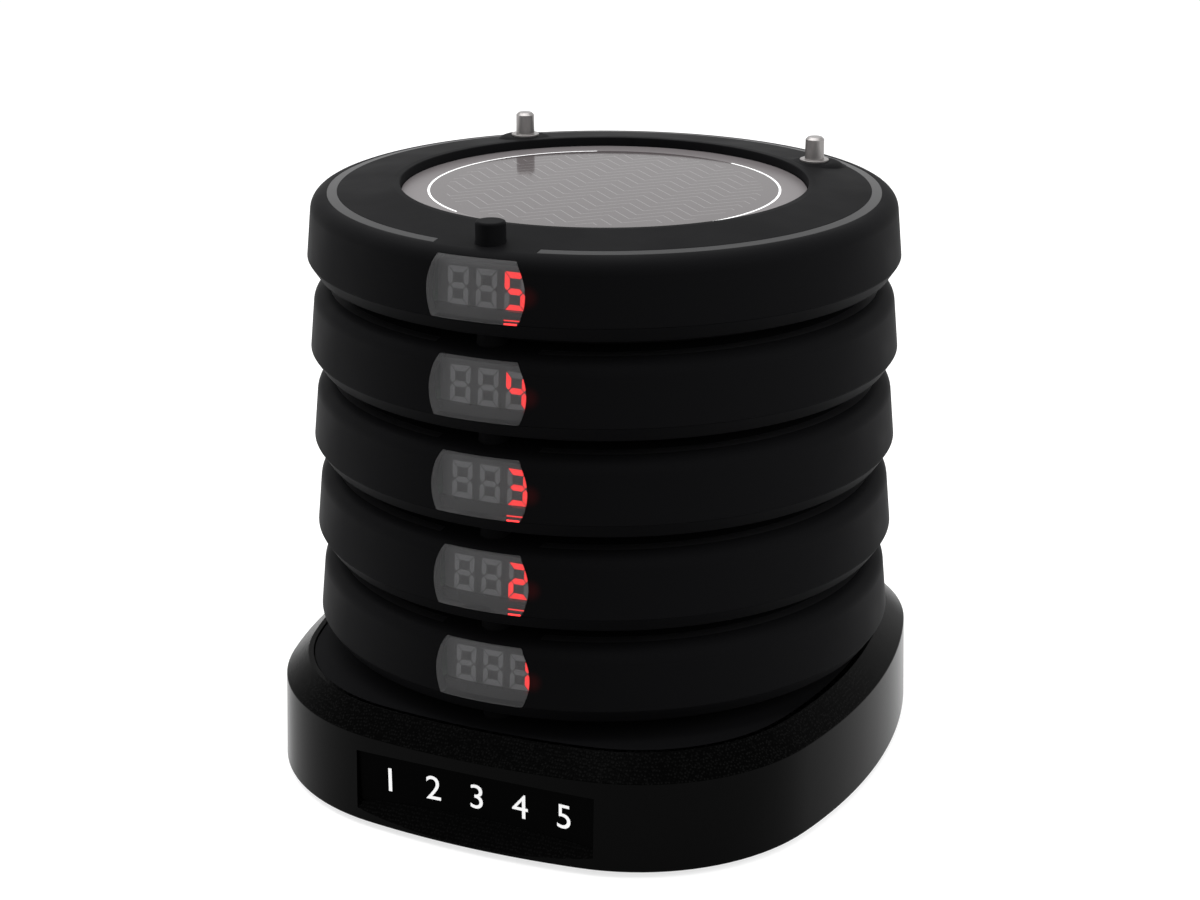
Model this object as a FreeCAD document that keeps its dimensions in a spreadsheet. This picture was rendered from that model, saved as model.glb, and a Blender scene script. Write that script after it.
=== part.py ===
# Guest pager system: five coaster pagers stacked on a charging base.
# Millimetres, +Z up. The displays face -Y, and the origin lies on the surface
# under the middle of the base.
import FreeCAD, Part
import math
import os
import Sketcher
from FreeCAD import Vector

doc = FreeCAD.newDocument("guest_pager_system")

# Driving dimensions: alias, value, what it is
DIMENSIONS = [
    ("seat_gap", 0.1, "air between one pager's foot and the pager that carries it"),
    ("fit_gap", 0.1, "clearance round a part that drops into a pocket"),
    ("seam_gap", 0.15, "visible seam round a cover or plate"),

    ("case_radius", 54, "pager radius at its widest line"),
    ("case_height", 16.9, "pager height from the foot to the rim of the top recess"),
    ("case_wall", 2.2, "wall of the pager cases"),
    ("side_lean", 1.1, "how far the side leans in on its way up"),
    ("top_fall", 1.63, "how far the top falls from its land to the side"),
    ("top_edge_round", 3, "round between the top and the side"),
    ("top_band", 17.05, "top of the case between the widest line and its recess"),
    ("recess_depth", 1.65, "recess depth down to the printed disc"),
    ("land_width", 1.25, "flat land round the recess"),
    ("recess_floor", 1.4, "floor under the printed disc"),
    ("disc_thickness", 1, "printed disc"),
    ("disc_edge", 0.2, "chamfer of the printed disc"),

    ("foot_inset", 6, "round foot inside the widest line"),
    ("foot_height", 1.62, "foot below the lower edge of the case"),
    ("band_height", 2.68, "inward band between the lower edge and the widest line"),
    ("band_width", 1.8, "how far that band goes in"),
    ("floor_thickness", 1.7, "floor of the lower case"),
    ("lip_height", 1.5, "locating lip above the parting line"),
    ("lip_width", 1.2, "locating lip"),

    ("ring_inset", 4.85, "middle of the light ring inside the widest line"),
    ("ring_width", 1.9, "light ring"),
    ("ring_break", 18.6, "break in the light ring above the display"),
    ("ring_depth", 2.35, "light ring floor below the rim"),

    ("post_inset", 11.6, "contact posts inside the widest line"),
    ("post_angle", 45, "contact posts either side of the back, degrees"),
    ("pin_radius", 1.75, "contact pin"),
    ("pin_height", 4.5, "contact pin above the rim"),
    ("pin_chamfer", 0.45, "chamfer of the pin's tip"),
    ("collar_radius", 2.7, "collar at the foot of the pin"),
    ("collar_height", 0.35, "collar above its boss"),
    ("post_radius", 2.45, "body of the contact post"),
    ("post_recess", 0.6, "how far the post ends above the foot"),
    ("socket_gap", 0.1, "clearance of a pin in the socket above it"),
    ("socket_end_gap", 0.6, "free depth above the pin's tip in its socket"),
    ("boss_top", 3.4, "flat top of the raised boss round a pin"),
    ("boss_reach", 7.2, "radius at which the boss runs out"),
    ("boss_fall", 1.35, "height over which the boss runs out"),

    ("peg_inset", 7.3, "locating peg inside the widest line"),
    ("peg_radius", 2.55, "locating peg"),
    ("peg_height", 2.6, "peg above the rim"),
    ("peg_chamfer", 0.4, "chamfer of the peg's top"),
    ("peg_flare", 0.3, "how far the peg widens towards its root"),
    ("peg_flare_drop", 0.4, "start of that widening below the rim"),
    ("peg_play", 0.5, "clearance round the peg"),
    ("peg_hole_depth", 1.3, "blind hole for the peg above the lower edge"),
    ("peg_cap", 1.2, "cap over that hole"),

    ("window_top", 14.6, "top of the display window above the foot"),
    ("window_bottom", 4.3, "bottom of the display window above the foot"),
    ("window_top_width", 14.2, "window along its top"),
    ("window_middle_width", 17.8, "window at its widest"),
    ("window_bottom_width", 15.6, "window along its bottom"),
    ("display_inset", 4.6, "face of the display inside the widest line"),
    ("display_width", 17, "display module"),
    ("display_height", 8.6, "display module"),
    ("display_thickness", 3, "display module"),
    ("display_middle", 8.75, "middle of the digits above the foot"),

    ("board_thickness", 1.6, "circuit boards"),
    ("board_seat", 0.9, "how far the pager board sits on the lip"),
    ("battery_length", 36, "battery pack"),
    ("battery_width", 26, "battery pack"),
    ("battery_thickness", 4.6, "battery pack"),
    ("battery_round", 1.2, "edges of the battery pack"),
    ("motor_radius", 5, "vibration motor"),
    ("motor_height", 3, "vibration motor"),
    ("screw_inset", 11, "case screws inside the widest line"),
    ("screw_radius", 1.2, "case screw"),
    ("screw_head_radius", 2.3, "head of a case screw"),
    ("screw_head_height", 1.5, "head of a case screw"),
    ("screw_length", 8.5, "case screw under its head"),
    ("screw_boss_radius", 3.1, "boss that takes a case screw"),

    ("base_half_width", 55.5, "base, middle to side, at the top of the wall"),
    ("base_half_depth", 58.9, "base, middle to front, at the top of the wall"),
    ("base_side_radius", 115, "bulge of the two sides"),
    ("base_front_radius", 155, "bulge of the front and the back"),
    ("base_corner_radius", 37, "corners of the base"),
    ("base_wall_height", 16.5, "upright wall of the base"),
    ("base_draft", 0.65, "how far the wall spreads towards the bottom"),
    ("base_slope_height", 3.95, "sloping band above the wall"),
    ("base_slope_width", 4.2, "sloping band above the wall"),
    ("base_rim_width", 1, "flat rim round the top cover"),
    ("base_wall", 2.5, "wall of the base housing"),
    ("cover_thickness", 1.65, "top cover of the base"),
    ("cover_drop", 0.25, "top cover below the rim"),
    ("cover_ledge", 1.9, "ledge that carries the top cover"),
    ("seat_rise", 1.05, "seat of the first pager above the rim"),
    ("seat_inset", 1.6, "where the seat meets the cover, inside the pager's widest line"),
    ("foot_drop", 1, "rubber feet below the base"),
    ("bottom_cover_thickness", 2.4, "bottom cover"),
    ("bottom_cover_lift", 0.4, "bottom cover above the wall's lower edge"),
    ("rubber_foot_radius", 6, "rubber foot"),
    ("rubber_foot_sink", 1, "rubber foot inside its pocket"),
    ("rubber_foot_inset_x", 20.5, "rubber foot from the side"),
    ("rubber_foot_inset_y", 19.9, "rubber foot from the front"),
    ("tower_inset", 9.5, "base screw towers from the side"),
    ("tower_spacing", 28, "base screw towers from each other, front to back"),
    ("tower_radius", 3.6, "base screw tower"),

    ("plate_width", 45.8, "recess for the marking plate"),
    ("plate_bottom", 2.45, "lower corner of the recess above the wall's lower edge"),
    ("plate_top", 13.5, "upper corner of the recess above the wall's lower edge"),
    ("plate_corner_depth", 0.9, "depth of the plate at the corners of the recess"),
    ("plate_hollow", 0.8, "how far the plate's face is hollow"),
    ("plate_thickness", 1.5, "plate at its thinnest"),
    ("plate_corner_inset", 1.4, "corners of the recess behind the middle of the wall"),
    ("plate_backing", 1.6, "wall behind the plate"),
    ("plate_top_slope", 0.47, "rise of the recess above the plate, per length outwards"),

    ("inlet_height", 8, "power inlet above the wall's lower edge"),
    ("inlet_nose_radius", 4.2, "round nose of the power inlet"),
    ("inlet_bore_radius", 2.8, "bore for the supply's plug"),
    ("inlet_bore_depth", 9, "bore for the supply's plug"),
    ("inlet_pin_radius", 1, "centre pin of the inlet"),
    ("inlet_body_width", 10, "body of the power inlet"),
    ("inlet_body_length", 12, "body of the power inlet behind the wall"),
    ("base_board_width", 56, "circuit board of the base"),
    ("base_board_depth", 38, "circuit board of the base"),
    ("rail_width", 2, "rails under that board"),
    ("rail_height", 2.2, "rails under that board"),
]
PAGERS = 5

sheet = doc.addObject("Spreadsheet::Sheet", "sizes")
for row, (alias, value, note) in enumerate(DIMENSIONS, start=1):
    sheet.set("A%d" % row, note)
    sheet.set("B%d" % row, str(value))
    sheet.setAlias("B%d" % row, alias)
doc.recompute()


class Length:
    """A number together with the expression that ties it to the sheet."""

    def __init__(self, value, text):
        self.value = float(value)
        self.text = text

    def join(self, other, sign, result):
        return Length(result, "(%s %s %s)" % (self.text, sign, other.text))

    def __add__(self, other):
        other = length(other)
        return self.join(other, "+", self.value + other.value)

    def __sub__(self, other):
        other = length(other)
        return self.join(other, "-", self.value - other.value)

    def __mul__(self, other):
        other = length(other)
        return self.join(other, "*", self.value * other.value)

    def __truediv__(self, other):
        other = length(other)
        return self.join(other, "/", self.value / other.value)

    def __radd__(self, other):
        return length(other) + self

    def __rsub__(self, other):
        return length(other) - self

    def __rmul__(self, other):
        return length(other) * self

    def __neg__(self):
        return length(-1) * self


def length(value):
    if isinstance(value, Length):
        return value
    return Length(value, "%g" % value)


def sine(angle):
    return Length(math.sin(math.radians(angle.value)), "sin(%s * 1 deg)" % angle.text)


def cosine(angle):
    return Length(math.cos(math.radians(angle.value)), "cos(%s * 1 deg)" % angle.text)


class Sizes:
    """Reads a driving dimension by its alias."""


for alias, value, note in DIMENSIONS:
    setattr(Sizes, alias, Length(value, "sizes." + alias))
s = Sizes


# Bodies, sketches and features


def new_body(label, height=0):
    body = doc.addObject("PartDesign::Body", label)
    body.Label = label
    body.Placement.Base = Vector(0, 0, length(height).value)
    body.setExpression("Placement.Base.z", length(height).text)
    return body


def plane(body, role):
    return [item for item in body.Origin.OriginFeatures if item.Role == role][0]


def new_sketch(body, name, role="XY_Plane", shift=(0, 0, 0)):
    sketch = body.newObject("Sketcher::SketchObject", name)
    sketch.AttachmentSupport = [(plane(body, role), "")]
    sketch.MapMode = "FlatFace"
    shift = [length(value) for value in shift]
    sketch.AttachmentOffset.Base = Vector(*[value.value for value in shift])
    for axis, value in zip("xyz", shift):
        sketch.setExpression("AttachmentOffset.Base." + axis, value.text)
    return sketch


def tie(sketch, kind, *where):
    """Adds a constraint whose last item is a Length and ties it to the sheet."""
    value = length(where[-1])
    index = sketch.addConstraint(Sketcher.Constraint(kind, *where[:-1], value.value))
    sketch.setExpression("Constraints[%d]" % index, value.text)


def fix_point(sketch, geometry, end, x, y):
    x, y = length(x), length(y)
    if x.value == 0 and y.value == 0:
        sketch.addConstraint(Sketcher.Constraint("Coincident", geometry, end, -1, 1))
        return
    if x.value == 0:
        sketch.addConstraint(Sketcher.Constraint("PointOnObject", geometry, end, -2))
    else:
        tie(sketch, "DistanceX", -1, 1, geometry, end, x)
    if y.value == 0:
        sketch.addConstraint(Sketcher.Constraint("PointOnObject", geometry, end, -1))
    else:
        tie(sketch, "DistanceY", -1, 1, geometry, end, y)


def vector(point):
    return Vector(length(point[0]).value, length(point[1]).value, 0)


def draw_polygon(sketch, points):
    first = sketch.GeometryCount
    for start, end in zip(points, points[1:] + points[:1]):
        sketch.addGeometry(Part.LineSegment(vector(start), vector(end)), False)
    for step, point in enumerate(points):
        following = first + (step + 1) % len(points)
        sketch.addConstraint(Sketcher.Constraint("Coincident", first + step, 2, following, 1))
        fix_point(sketch, first + step, 1, *point)


def draw_rectangle(sketch, width, depth, x=0, y=0):
    x, y = length(x), length(y)
    left, right = x - width / 2, x + width / 2
    low, high = y - depth / 2, y + depth / 2
    draw_polygon(sketch, [(left, low), (right, low), (right, high), (left, high)])


def draw_circle(sketch, radius, x=0, y=0):
    radius = length(radius)
    index = sketch.addGeometry(Part.Circle(vector((x, y)), Vector(0, 0, 1), radius.value), False)
    fix_point(sketch, index, 3, x, y)
    tie(sketch, "Radius", index, radius)


def draw_arc(sketch, start, through, end):
    """An arc through three points; its caller fixes it."""
    sketch.addGeometry(Part.Arc(vector(start), vector(through), vector(end)), False)


def add(body, kind, name, sketch, **settings):
    """Adds a sketch feature and checks that it changed the solid's volume."""
    before = body.Shape.Volume if body.Tip else 0
    feature = body.newObject("PartDesign::" + kind, name)
    feature.Profile = sketch
    for setting, value in settings.items():
        if isinstance(value, Length):
            setattr(feature, setting, value.value)
            feature.setExpression(setting, value.text)
        else:
            setattr(feature, setting, value)
    doc.recompute()
    after = feature.Shape.Volume
    cuts = kind in ("Pocket", "Groove", "SubtractiveLoft")
    if cuts and not after < before or not cuts and not after > before:
        raise RuntimeError("%s: %s left the volume at %.3f" % (body.Label, name, after))
    return feature


def pad(body, name, sketch, height, **settings):
    return add(body, "Pad", name, sketch, Length=length(height), **settings)


def pocket(body, name, sketch, depth, **settings):
    return add(body, "Pocket", name, sketch, Length=length(depth), **settings)


def turn(body, name, sketch, kind="Revolution", **settings):
    return add(body, kind, name, sketch, ReferenceAxis=(sketch, ["V_Axis"]), Angle=360, **settings)


def round_edges(body, feature, name, radius, wanted, kind="Fillet"):
    """Fillets or chamfers the edges of a feature that the test picks."""
    names = ["Edge%d" % (n + 1) for n, edge in enumerate(feature.Shape.Edges) if wanted(edge)]
    if not names:
        raise RuntimeError("%s: no edge for %s" % (body.Label, name))
    dress = body.newObject("PartDesign::" + kind, name)
    dress.Base = (feature, names)
    setting = "Radius" if kind == "Fillet" else "Size"
    setattr(dress, setting, radius.value)
    dress.setExpression(setting, radius.text)
    doc.recompute()
    return dress


def level(edge, height):
    """True for a level edge at this height."""
    box = edge.BoundBox
    return abs(box.ZMin - height.value) < 0.01 and abs(box.ZMax - height.value) < 0.01


# Places that follow the pager's widest line

RECESS_RADIUS = s.case_radius - s.top_band
FOOT_RADIUS = s.case_radius - s.foot_inset
RING_RADIUS = s.case_radius - s.ring_inset
POST_CIRCLE = s.case_radius - s.post_inset
PEG_CIRCLE = s.case_radius - s.peg_inset
DISPLAY_FACE = s.case_radius - s.display_inset
SCREW_CIRCLE = s.case_radius - s.screw_inset
SEAT_REACH = s.case_radius - s.seat_inset

# Shapes that the pagers and the base share

POST_X = POST_CIRCLE * sine(s.post_angle)
POST_Y = POST_CIRCLE * cosine(s.post_angle)
BOSS_SIDES = (-1, 1)


def draw_boss(sketch, low, high):
    """Half profile of a raised boss whose side runs out in an S-curve."""
    inner = s.boss_top
    outer = s.boss_reach
    half = (outer - inner) / 2
    middle = (inner + half, high - s.boss_fall / 2)
    base = high - s.boss_fall
    # Both arcs start level and meet halfway, which gives their common radius
    rise = s.boss_fall / 2
    radius = (half * half + rise * rise) / (2 * rise)
    sketch.addGeometry(Part.LineSegment(vector((0, low)), vector((0, high))), False)
    sketch.addGeometry(Part.LineSegment(vector((0, high)), vector((inner, high))), False)
    sweep = math.asin(half.value / radius.value)
    up, down = math.pi / 2, -math.pi / 2
    top_circle = Part.Circle(vector((inner, high - radius)), Vector(0, 0, 1), radius.value)
    low_circle = Part.Circle(vector((outer, base + radius)), Vector(0, 0, 1), radius.value)
    sketch.addGeometry(Part.ArcOfCircle(top_circle, up - sweep, up), False)
    sketch.addGeometry(Part.ArcOfCircle(low_circle, down - sweep, down), False)
    sketch.addGeometry(Part.LineSegment(vector((outer, base)), vector((outer, low))), False)
    sketch.addGeometry(Part.LineSegment(vector((outer, low)), vector((0, low))), False)
    for geometry, end, following, start in [(0, 2, 1, 1), (1, 2, 2, 2), (2, 1, 3, 1), (3, 2, 4, 1),
                                            (4, 2, 5, 1), (5, 2, 0, 1)]:
        sketch.addConstraint(Sketcher.Constraint("Coincident", geometry, end, following, start))
    fix_point(sketch, 0, 1, 0, low)
    fix_point(sketch, 1, 1, 0, high)
    fix_point(sketch, 1, 2, inner, high)
    tie(sketch, "DistanceX", -1, 1, 2, 3, inner)
    fix_point(sketch, 3, 1, *middle)
    tie(sketch, "DistanceX", -1, 1, 3, 3, outer)
    fix_point(sketch, 4, 1, outer, base)
    fix_point(sketch, 4, 2, outer, low)


def add_bosses(body, low, high):
    for side in BOSS_SIDES:
        word = "left" if side < 0 else "right"
        sketch = new_sketch(body, "boss_profile_" + word, "XZ_Plane", (side * POST_X, 0, -POST_Y))
        draw_boss(sketch, low, high)
        turn(body, "boss_" + word, sketch)


def add_peg(body, low, rim):
    sketch = new_sketch(body, "peg_profile", "XZ_Plane", (0, 0, PEG_CIRCLE))
    top = rim + s.peg_height
    draw_polygon(sketch, [(0, low), (s.peg_radius + s.peg_flare, low), (s.peg_radius, rim - s.peg_flare_drop),
                          (s.peg_radius, top - s.peg_chamfer), (s.peg_radius - s.peg_chamfer, top), (0, top)])
    turn(body, "peg", sketch)


def draw_post_circles(sketch, radius):
    for side in BOSS_SIDES:
        draw_circle(sketch, radius, side * POST_X, POST_Y)


def draw_ring(sketch, inner, outer, gap):
    """A ring round the middle with a parallel-sided break at the front."""
    half = length(gap) / 2
    ends = []
    for radius in (outer, inner):
        drop = math.sqrt(radius.value ** 2 - half.value ** 2)
        ends.append(drop)
        side = math.atan2(-drop, half.value)
        circle = Part.Circle(Vector(0, 0, 0), Vector(0, 0, 1), radius.value)
        sketch.addGeometry(Part.ArcOfCircle(circle, side, math.pi - side), False)
    for sign in (1, -1):
        start = Vector(sign * half.value, -ends[0], 0)
        sketch.addGeometry(Part.LineSegment(start, Vector(start.x, -ends[1], 0)), False)
    for index, radius in ((0, outer), (1, inner)):
        sketch.addConstraint(Sketcher.Constraint("Coincident", index, 3, -1, 1))
        tie(sketch, "Radius", index, radius)
    for line, end, sign in ((2, 1, 1), (3, 2, -1)):
        sketch.addConstraint(Sketcher.Constraint("Coincident", line, 1, 0, end))
        sketch.addConstraint(Sketcher.Constraint("Coincident", line, 2, 1, end))
        sketch.addConstraint(Sketcher.Constraint("Vertical", line))
        tie(sketch, "DistanceX", -1, 1, line, 1, sign * half)


# Pager: every height is above the underside of its foot

LOWER_EDGE = s.foot_height
PARTING = s.foot_height + s.band_height
RIM = s.case_height
LAND = RECESS_RADIUS + s.land_width
SHOULDER = s.case_radius - s.side_lean
SHOULDER_Z = RIM - s.top_fall
DISC_SEAT = RIM - s.recess_depth - s.disc_thickness
CEILING = DISC_SEAT - s.recess_floor
GROOVE_FLOOR = RIM - s.ring_depth
SIDE_SLOPE = s.side_lean / (SHOULDER_Z - PARTING)
LIP_TOP = PARTING + s.lip_height
LIP_OUTER = s.case_radius - s.case_wall - SIDE_SLOPE * s.lip_height - s.fit_gap
FLOOR_RIM = LOWER_EDGE + s.floor_thickness
SCREW_ANGLES = (-30, 90, 210)
SCREW_HOLD = s.floor_thickness + s.screw_head_height


def screw_places():
    for angle in SCREW_ANGLES:
        turned = length(angle)
        yield SCREW_CIRCLE * cosine(turned), SCREW_CIRCLE * sine(turned)


def draw_case_skin(sketch):
    """Outer skin of the upper case, as a closed half section with its round top edge."""
    foot, land = vector((s.case_radius, PARTING)), vector((LAND, RIM))
    shoulder = vector((SHOULDER, SHOULDER_Z))
    down, inward = (foot - shoulder).normalize(), (land - shoulder).normalize()
    half = down.getAngle(inward) / 2
    radius = s.top_edge_round.value
    start = shoulder + down * (radius / math.tan(half))
    end = shoulder + inward * (radius / math.tan(half))
    centre = shoulder + (down + inward).normalize() * (radius / math.sin(half))
    low, high = [math.atan2(point.y - centre.y, point.x - centre.x) for point in (start, end)]
    circle = Part.Circle(centre, Vector(0, 0, 1), radius)
    axis_low, axis_high = vector((0, PARTING)), vector((0, RIM))
    for shape in (Part.LineSegment(axis_low, foot), Part.LineSegment(foot, start),
                  Part.ArcOfCircle(circle, low, high), Part.LineSegment(end, land),
                  Part.LineSegment(land, axis_high), Part.LineSegment(axis_high, axis_low)):
        sketch.addGeometry(shape, False)
    corner = sketch.addGeometry(Part.Point(shoulder), True)
    for line in (0, 3, 4, 5):
        sketch.addConstraint(Sketcher.Constraint("Coincident", line, 2, (line + 1) % 6, 1))
    sketch.addConstraint(Sketcher.Constraint("Tangent", 1, 2, 2, 1))
    sketch.addConstraint(Sketcher.Constraint("Tangent", 2, 2, 3, 1))
    fix_point(sketch, 0, 1, 0, PARTING)
    fix_point(sketch, 0, 2, s.case_radius, PARTING)
    fix_point(sketch, 4, 1, LAND, RIM)
    fix_point(sketch, 4, 2, 0, RIM)
    # Both straight sides point at the sharp corner that the round replaces
    fix_point(sketch, corner, 1, SHOULDER, SHOULDER_Z)
    for line in (1, 3):
        sketch.addConstraint(Sketcher.Constraint("PointOnObject", corner, 1, line))
    tie(sketch, "Radius", 2, s.top_edge_round)


def draw_window(sketch, grow=0, frame=False):
    """Front view of the display window: level top and bottom, bulging ends."""
    grow = length(grow)
    top = s.window_top + grow
    bottom = s.window_bottom
    middle = (top + bottom) / 2
    top_half = s.window_top_width / 2 + grow
    mid_half = s.window_middle_width / 2 + grow
    low_half = s.window_bottom_width / 2 + grow
    first = sketch.GeometryCount
    sketch.addGeometry(Part.LineSegment(vector((-top_half, top)), vector((top_half, top))), False)
    sketch.addGeometry(Part.LineSegment(vector((low_half, bottom)), vector((-low_half, bottom))), False)
    draw_arc(sketch, (low_half, bottom), (mid_half, middle), (top_half, top))
    draw_arc(sketch, (-top_half, top), (-mid_half, middle), (-low_half, bottom))
    right, left = first + 2, first + 3
    for a, end, b, start in [(first, 2, right, 2), (first + 1, 1, right, 1), (first, 1, left, 1),
                             (first + 1, 2, left, 2)]:
        sketch.addConstraint(Sketcher.Constraint("Coincident", a, end, b, start))
    fix_point(sketch, first, 1, -top_half, top)
    fix_point(sketch, first, 2, top_half, top)
    fix_point(sketch, first + 1, 1, low_half, bottom)
    fix_point(sketch, first + 1, 2, -low_half, bottom)
    for arc, side in ((right, 1), (left, -1)):
        point = sketch.addGeometry(Part.Point(vector((side * mid_half, middle))), True)
        fix_point(sketch, point, 1, side * mid_half, middle)
        sketch.addConstraint(Sketcher.Constraint("PointOnObject", point, 1, arc))
    if frame:
        draw_rectangle(sketch, 4 * s.case_radius, 4 * s.case_height, 0, middle)


def make_upper_case(label, height):
    body = new_body(label, height)
    sketch = new_sketch(body, "skin_profile", "XZ_Plane")
    draw_case_skin(sketch)
    turn(body, "skin", sketch)

    sketch = new_sketch(body, "cavity_profile", "XZ_Plane")
    inner_top = RIM - s.case_wall - s.top_fall
    inner_side = s.case_radius - s.case_wall - SIDE_SLOPE * (inner_top - PARTING)
    neck = RECESS_RADIUS + s.case_wall
    draw_polygon(sketch, [(0, PARTING), (s.case_radius - s.case_wall, PARTING), (inner_side, inner_top),
                          (neck, GROOVE_FLOOR - s.fit_gap), (neck, CEILING), (0, CEILING)])
    turn(body, "cavity", sketch, "Groove")

    sketch = new_sketch(body, "ring_groove_profile", shift=(0, 0, RIM))
    half = s.ring_width / 2
    draw_ring(sketch, RING_RADIUS - half, RING_RADIUS + half, s.ring_break)
    pocket(body, "ring_groove", sketch, s.ring_depth)

    add_bosses(body, GROOVE_FLOOR, RIM)
    add_peg(body, GROOVE_FLOOR, RIM)

    sketch = new_sketch(body, "recess_circle", shift=(0, 0, RIM))
    draw_circle(sketch, RECESS_RADIUS)
    pocket(body, "recess", sketch, RIM - DISC_SEAT)

    sketch = new_sketch(body, "post_holes_sketch", shift=(0, 0, RIM))
    draw_post_circles(sketch, s.post_radius + s.fit_gap)
    pocket(body, "post_holes", sketch, RIM - CEILING)

    sketch = new_sketch(body, "screw_boss_circles", shift=(0, 0, SCREW_HOLD + s.fit_gap))
    for x, y in screw_places():
        draw_circle(sketch, s.screw_boss_radius, x, y)
    pad(body, "screw_bosses", sketch, GROOVE_FLOOR - SCREW_HOLD - s.fit_gap)
    sketch = new_sketch(body, "screw_holes_sketch", shift=(0, 0, SCREW_HOLD))
    for x, y in screw_places():
        draw_circle(sketch, s.screw_radius + s.fit_gap / 2, x, y)
    pocket(body, "screw_holes", sketch, s.screw_length, Reversed=True)

    front = s.case_radius - s.case_wall - s.side_lean - s.recess_depth
    sketch = new_sketch(body, "window_outline", "XZ_Plane", (0, 0, front))
    draw_window(sketch, s.fit_gap)
    pocket(body, "window", sketch, s.case_radius - front + s.case_wall, Reversed=True)
    return body


def make_lower_case(label, height):
    body = new_body(label, height)
    sketch = new_sketch(body, "tray_profile", "XZ_Plane")
    inner_foot = FOOT_RADIUS - s.floor_thickness
    lip_inner = LIP_OUTER - s.lip_width
    draw_polygon(sketch, [(0, 0), (FOOT_RADIUS, 0), (FOOT_RADIUS, LOWER_EDGE),
                          (s.case_radius - s.band_width, LOWER_EDGE), (s.case_radius, PARTING),
                          (LIP_OUTER, PARTING), (LIP_OUTER, LIP_TOP), (lip_inner, LIP_TOP),
                          (lip_inner, FLOOR_RIM), (inner_foot, FLOOR_RIM),
                          (inner_foot, s.floor_thickness), (0, s.floor_thickness)])
    turn(body, "tray", sketch)

    sketch = new_sketch(body, "inner_boss_circles", shift=(0, 0, s.floor_thickness / 2))
    for x, y in screw_places():
        draw_circle(sketch, s.screw_boss_radius + s.floor_thickness / 2, x, y)
    draw_post_circles(sketch, s.post_radius + s.floor_thickness)
    pad(body, "inner_bosses", sketch, SCREW_HOLD - s.floor_thickness / 2)
    half = s.peg_radius + s.peg_play
    sketch = new_sketch(body, "peg_cap_circle", shift=(0, 0, LOWER_EDGE))
    draw_circle(sketch, half + s.floor_thickness, 0, -PEG_CIRCLE)
    pad(body, "peg_cap", sketch, s.peg_hole_depth + s.peg_cap)

    # A notch in the foot, open to the front, lets the peg in
    sketch = new_sketch(body, "peg_notch_sketch")
    draw_rectangle(sketch, 2 * half, 2 * half, 0, -PEG_CIRCLE - half)
    pocket(body, "peg_notch", sketch, LOWER_EDGE, Reversed=True)
    sketch = new_sketch(body, "peg_hole_sketch")
    draw_circle(sketch, half, 0, -PEG_CIRCLE)
    pocket(body, "peg_hole", sketch, LOWER_EDGE + s.peg_hole_depth, Reversed=True)

    sketch = new_sketch(body, "post_holes_sketch")
    draw_post_circles(sketch, s.post_radius + s.fit_gap)
    pocket(body, "post_holes", sketch, SCREW_HOLD, Reversed=True)
    sketch = new_sketch(body, "collar_rooms_sketch")
    draw_post_circles(sketch, s.collar_radius + s.peg_play)
    pocket(body, "collar_rooms", sketch, s.post_recess, Reversed=True)

    sketch = new_sketch(body, "head_rooms_sketch")
    for x, y in screw_places():
        draw_circle(sketch, s.screw_head_radius + s.fit_gap, x, y)
    pocket(body, "head_rooms", sketch, s.floor_thickness, Reversed=True)
    sketch = new_sketch(body, "screw_holes_sketch")
    for x, y in screw_places():
        draw_circle(sketch, s.screw_radius + s.fit_gap, x, y)
    pocket(body, "screw_holes", sketch, SCREW_HOLD, Reversed=True)
    return body


def make_light_ring(label, height):
    body = new_body(label, height)
    half = s.ring_width / 2 - s.fit_gap / 2
    sketch = new_sketch(body, "strip_outline", shift=(0, 0, GROOVE_FLOOR))
    draw_ring(sketch, RING_RADIUS - half, RING_RADIUS + half, s.ring_break + s.fit_gap)
    pad(body, "strip", sketch, s.ring_depth)
    # The strip's top follows the falling top of the case
    slope = s.top_fall / (SHOULDER - LAND)
    sketch = new_sketch(body, "top_cut_profile", "XZ_Plane")
    draw_polygon(sketch, [(LAND, RIM), (s.case_radius, RIM - slope * (s.case_radius - LAND)),
                          (s.case_radius, RIM + s.top_fall), (LAND, RIM + s.top_fall)])
    turn(body, "top_cut", sketch, "Groove")
    sketch = new_sketch(body, "boss_cut_sketch", shift=(0, 0, RIM))
    draw_post_circles(sketch, s.boss_reach + s.fit_gap / 2)
    pocket(body, "boss_cut", sketch, s.ring_depth)
    return body


def make_face_disc(label, height):
    body = new_body(label, height)
    sketch = new_sketch(body, "disc_circle", shift=(0, 0, DISC_SEAT))
    draw_circle(sketch, RECESS_RADIUS - s.fit_gap)
    disc = pad(body, "disc", sketch, s.disc_thickness)
    top = DISC_SEAT + s.disc_thickness
    round_edges(body, disc, "disc_rim", s.disc_edge, lambda edge: level(edge, top), "Chamfer")
    return body


def make_display_window(label, height):
    body = new_body(label, height)
    sketch = new_sketch(body, "skin_profile", "XZ_Plane")
    draw_case_skin(sketch)
    turn(body, "skin", sketch)
    sketch = new_sketch(body, "inside_profile", "XZ_Plane")
    inner_side = SHOULDER - s.case_wall
    draw_polygon(sketch, [(0, PARTING - s.case_wall), (s.case_radius - s.case_wall, PARTING - s.case_wall),
                          (s.case_radius - s.case_wall, PARTING), (inner_side, RIM + s.case_wall),
                          (0, RIM + s.case_wall)])
    turn(body, "inside", sketch, "Groove")
    sketch = new_sketch(body, "back_half_sketch", shift=(0, 0, RIM))
    draw_rectangle(sketch, 4 * s.case_radius, 2 * s.case_radius, 0, s.case_radius)
    pocket(body, "back_half", sketch, s.case_height)
    sketch = new_sketch(body, "outline", "XZ_Plane")
    draw_window(sketch, 0, frame=True)
    pocket(body, "trim", sketch, 2 * s.case_radius, Reversed=True)
    return body


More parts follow.
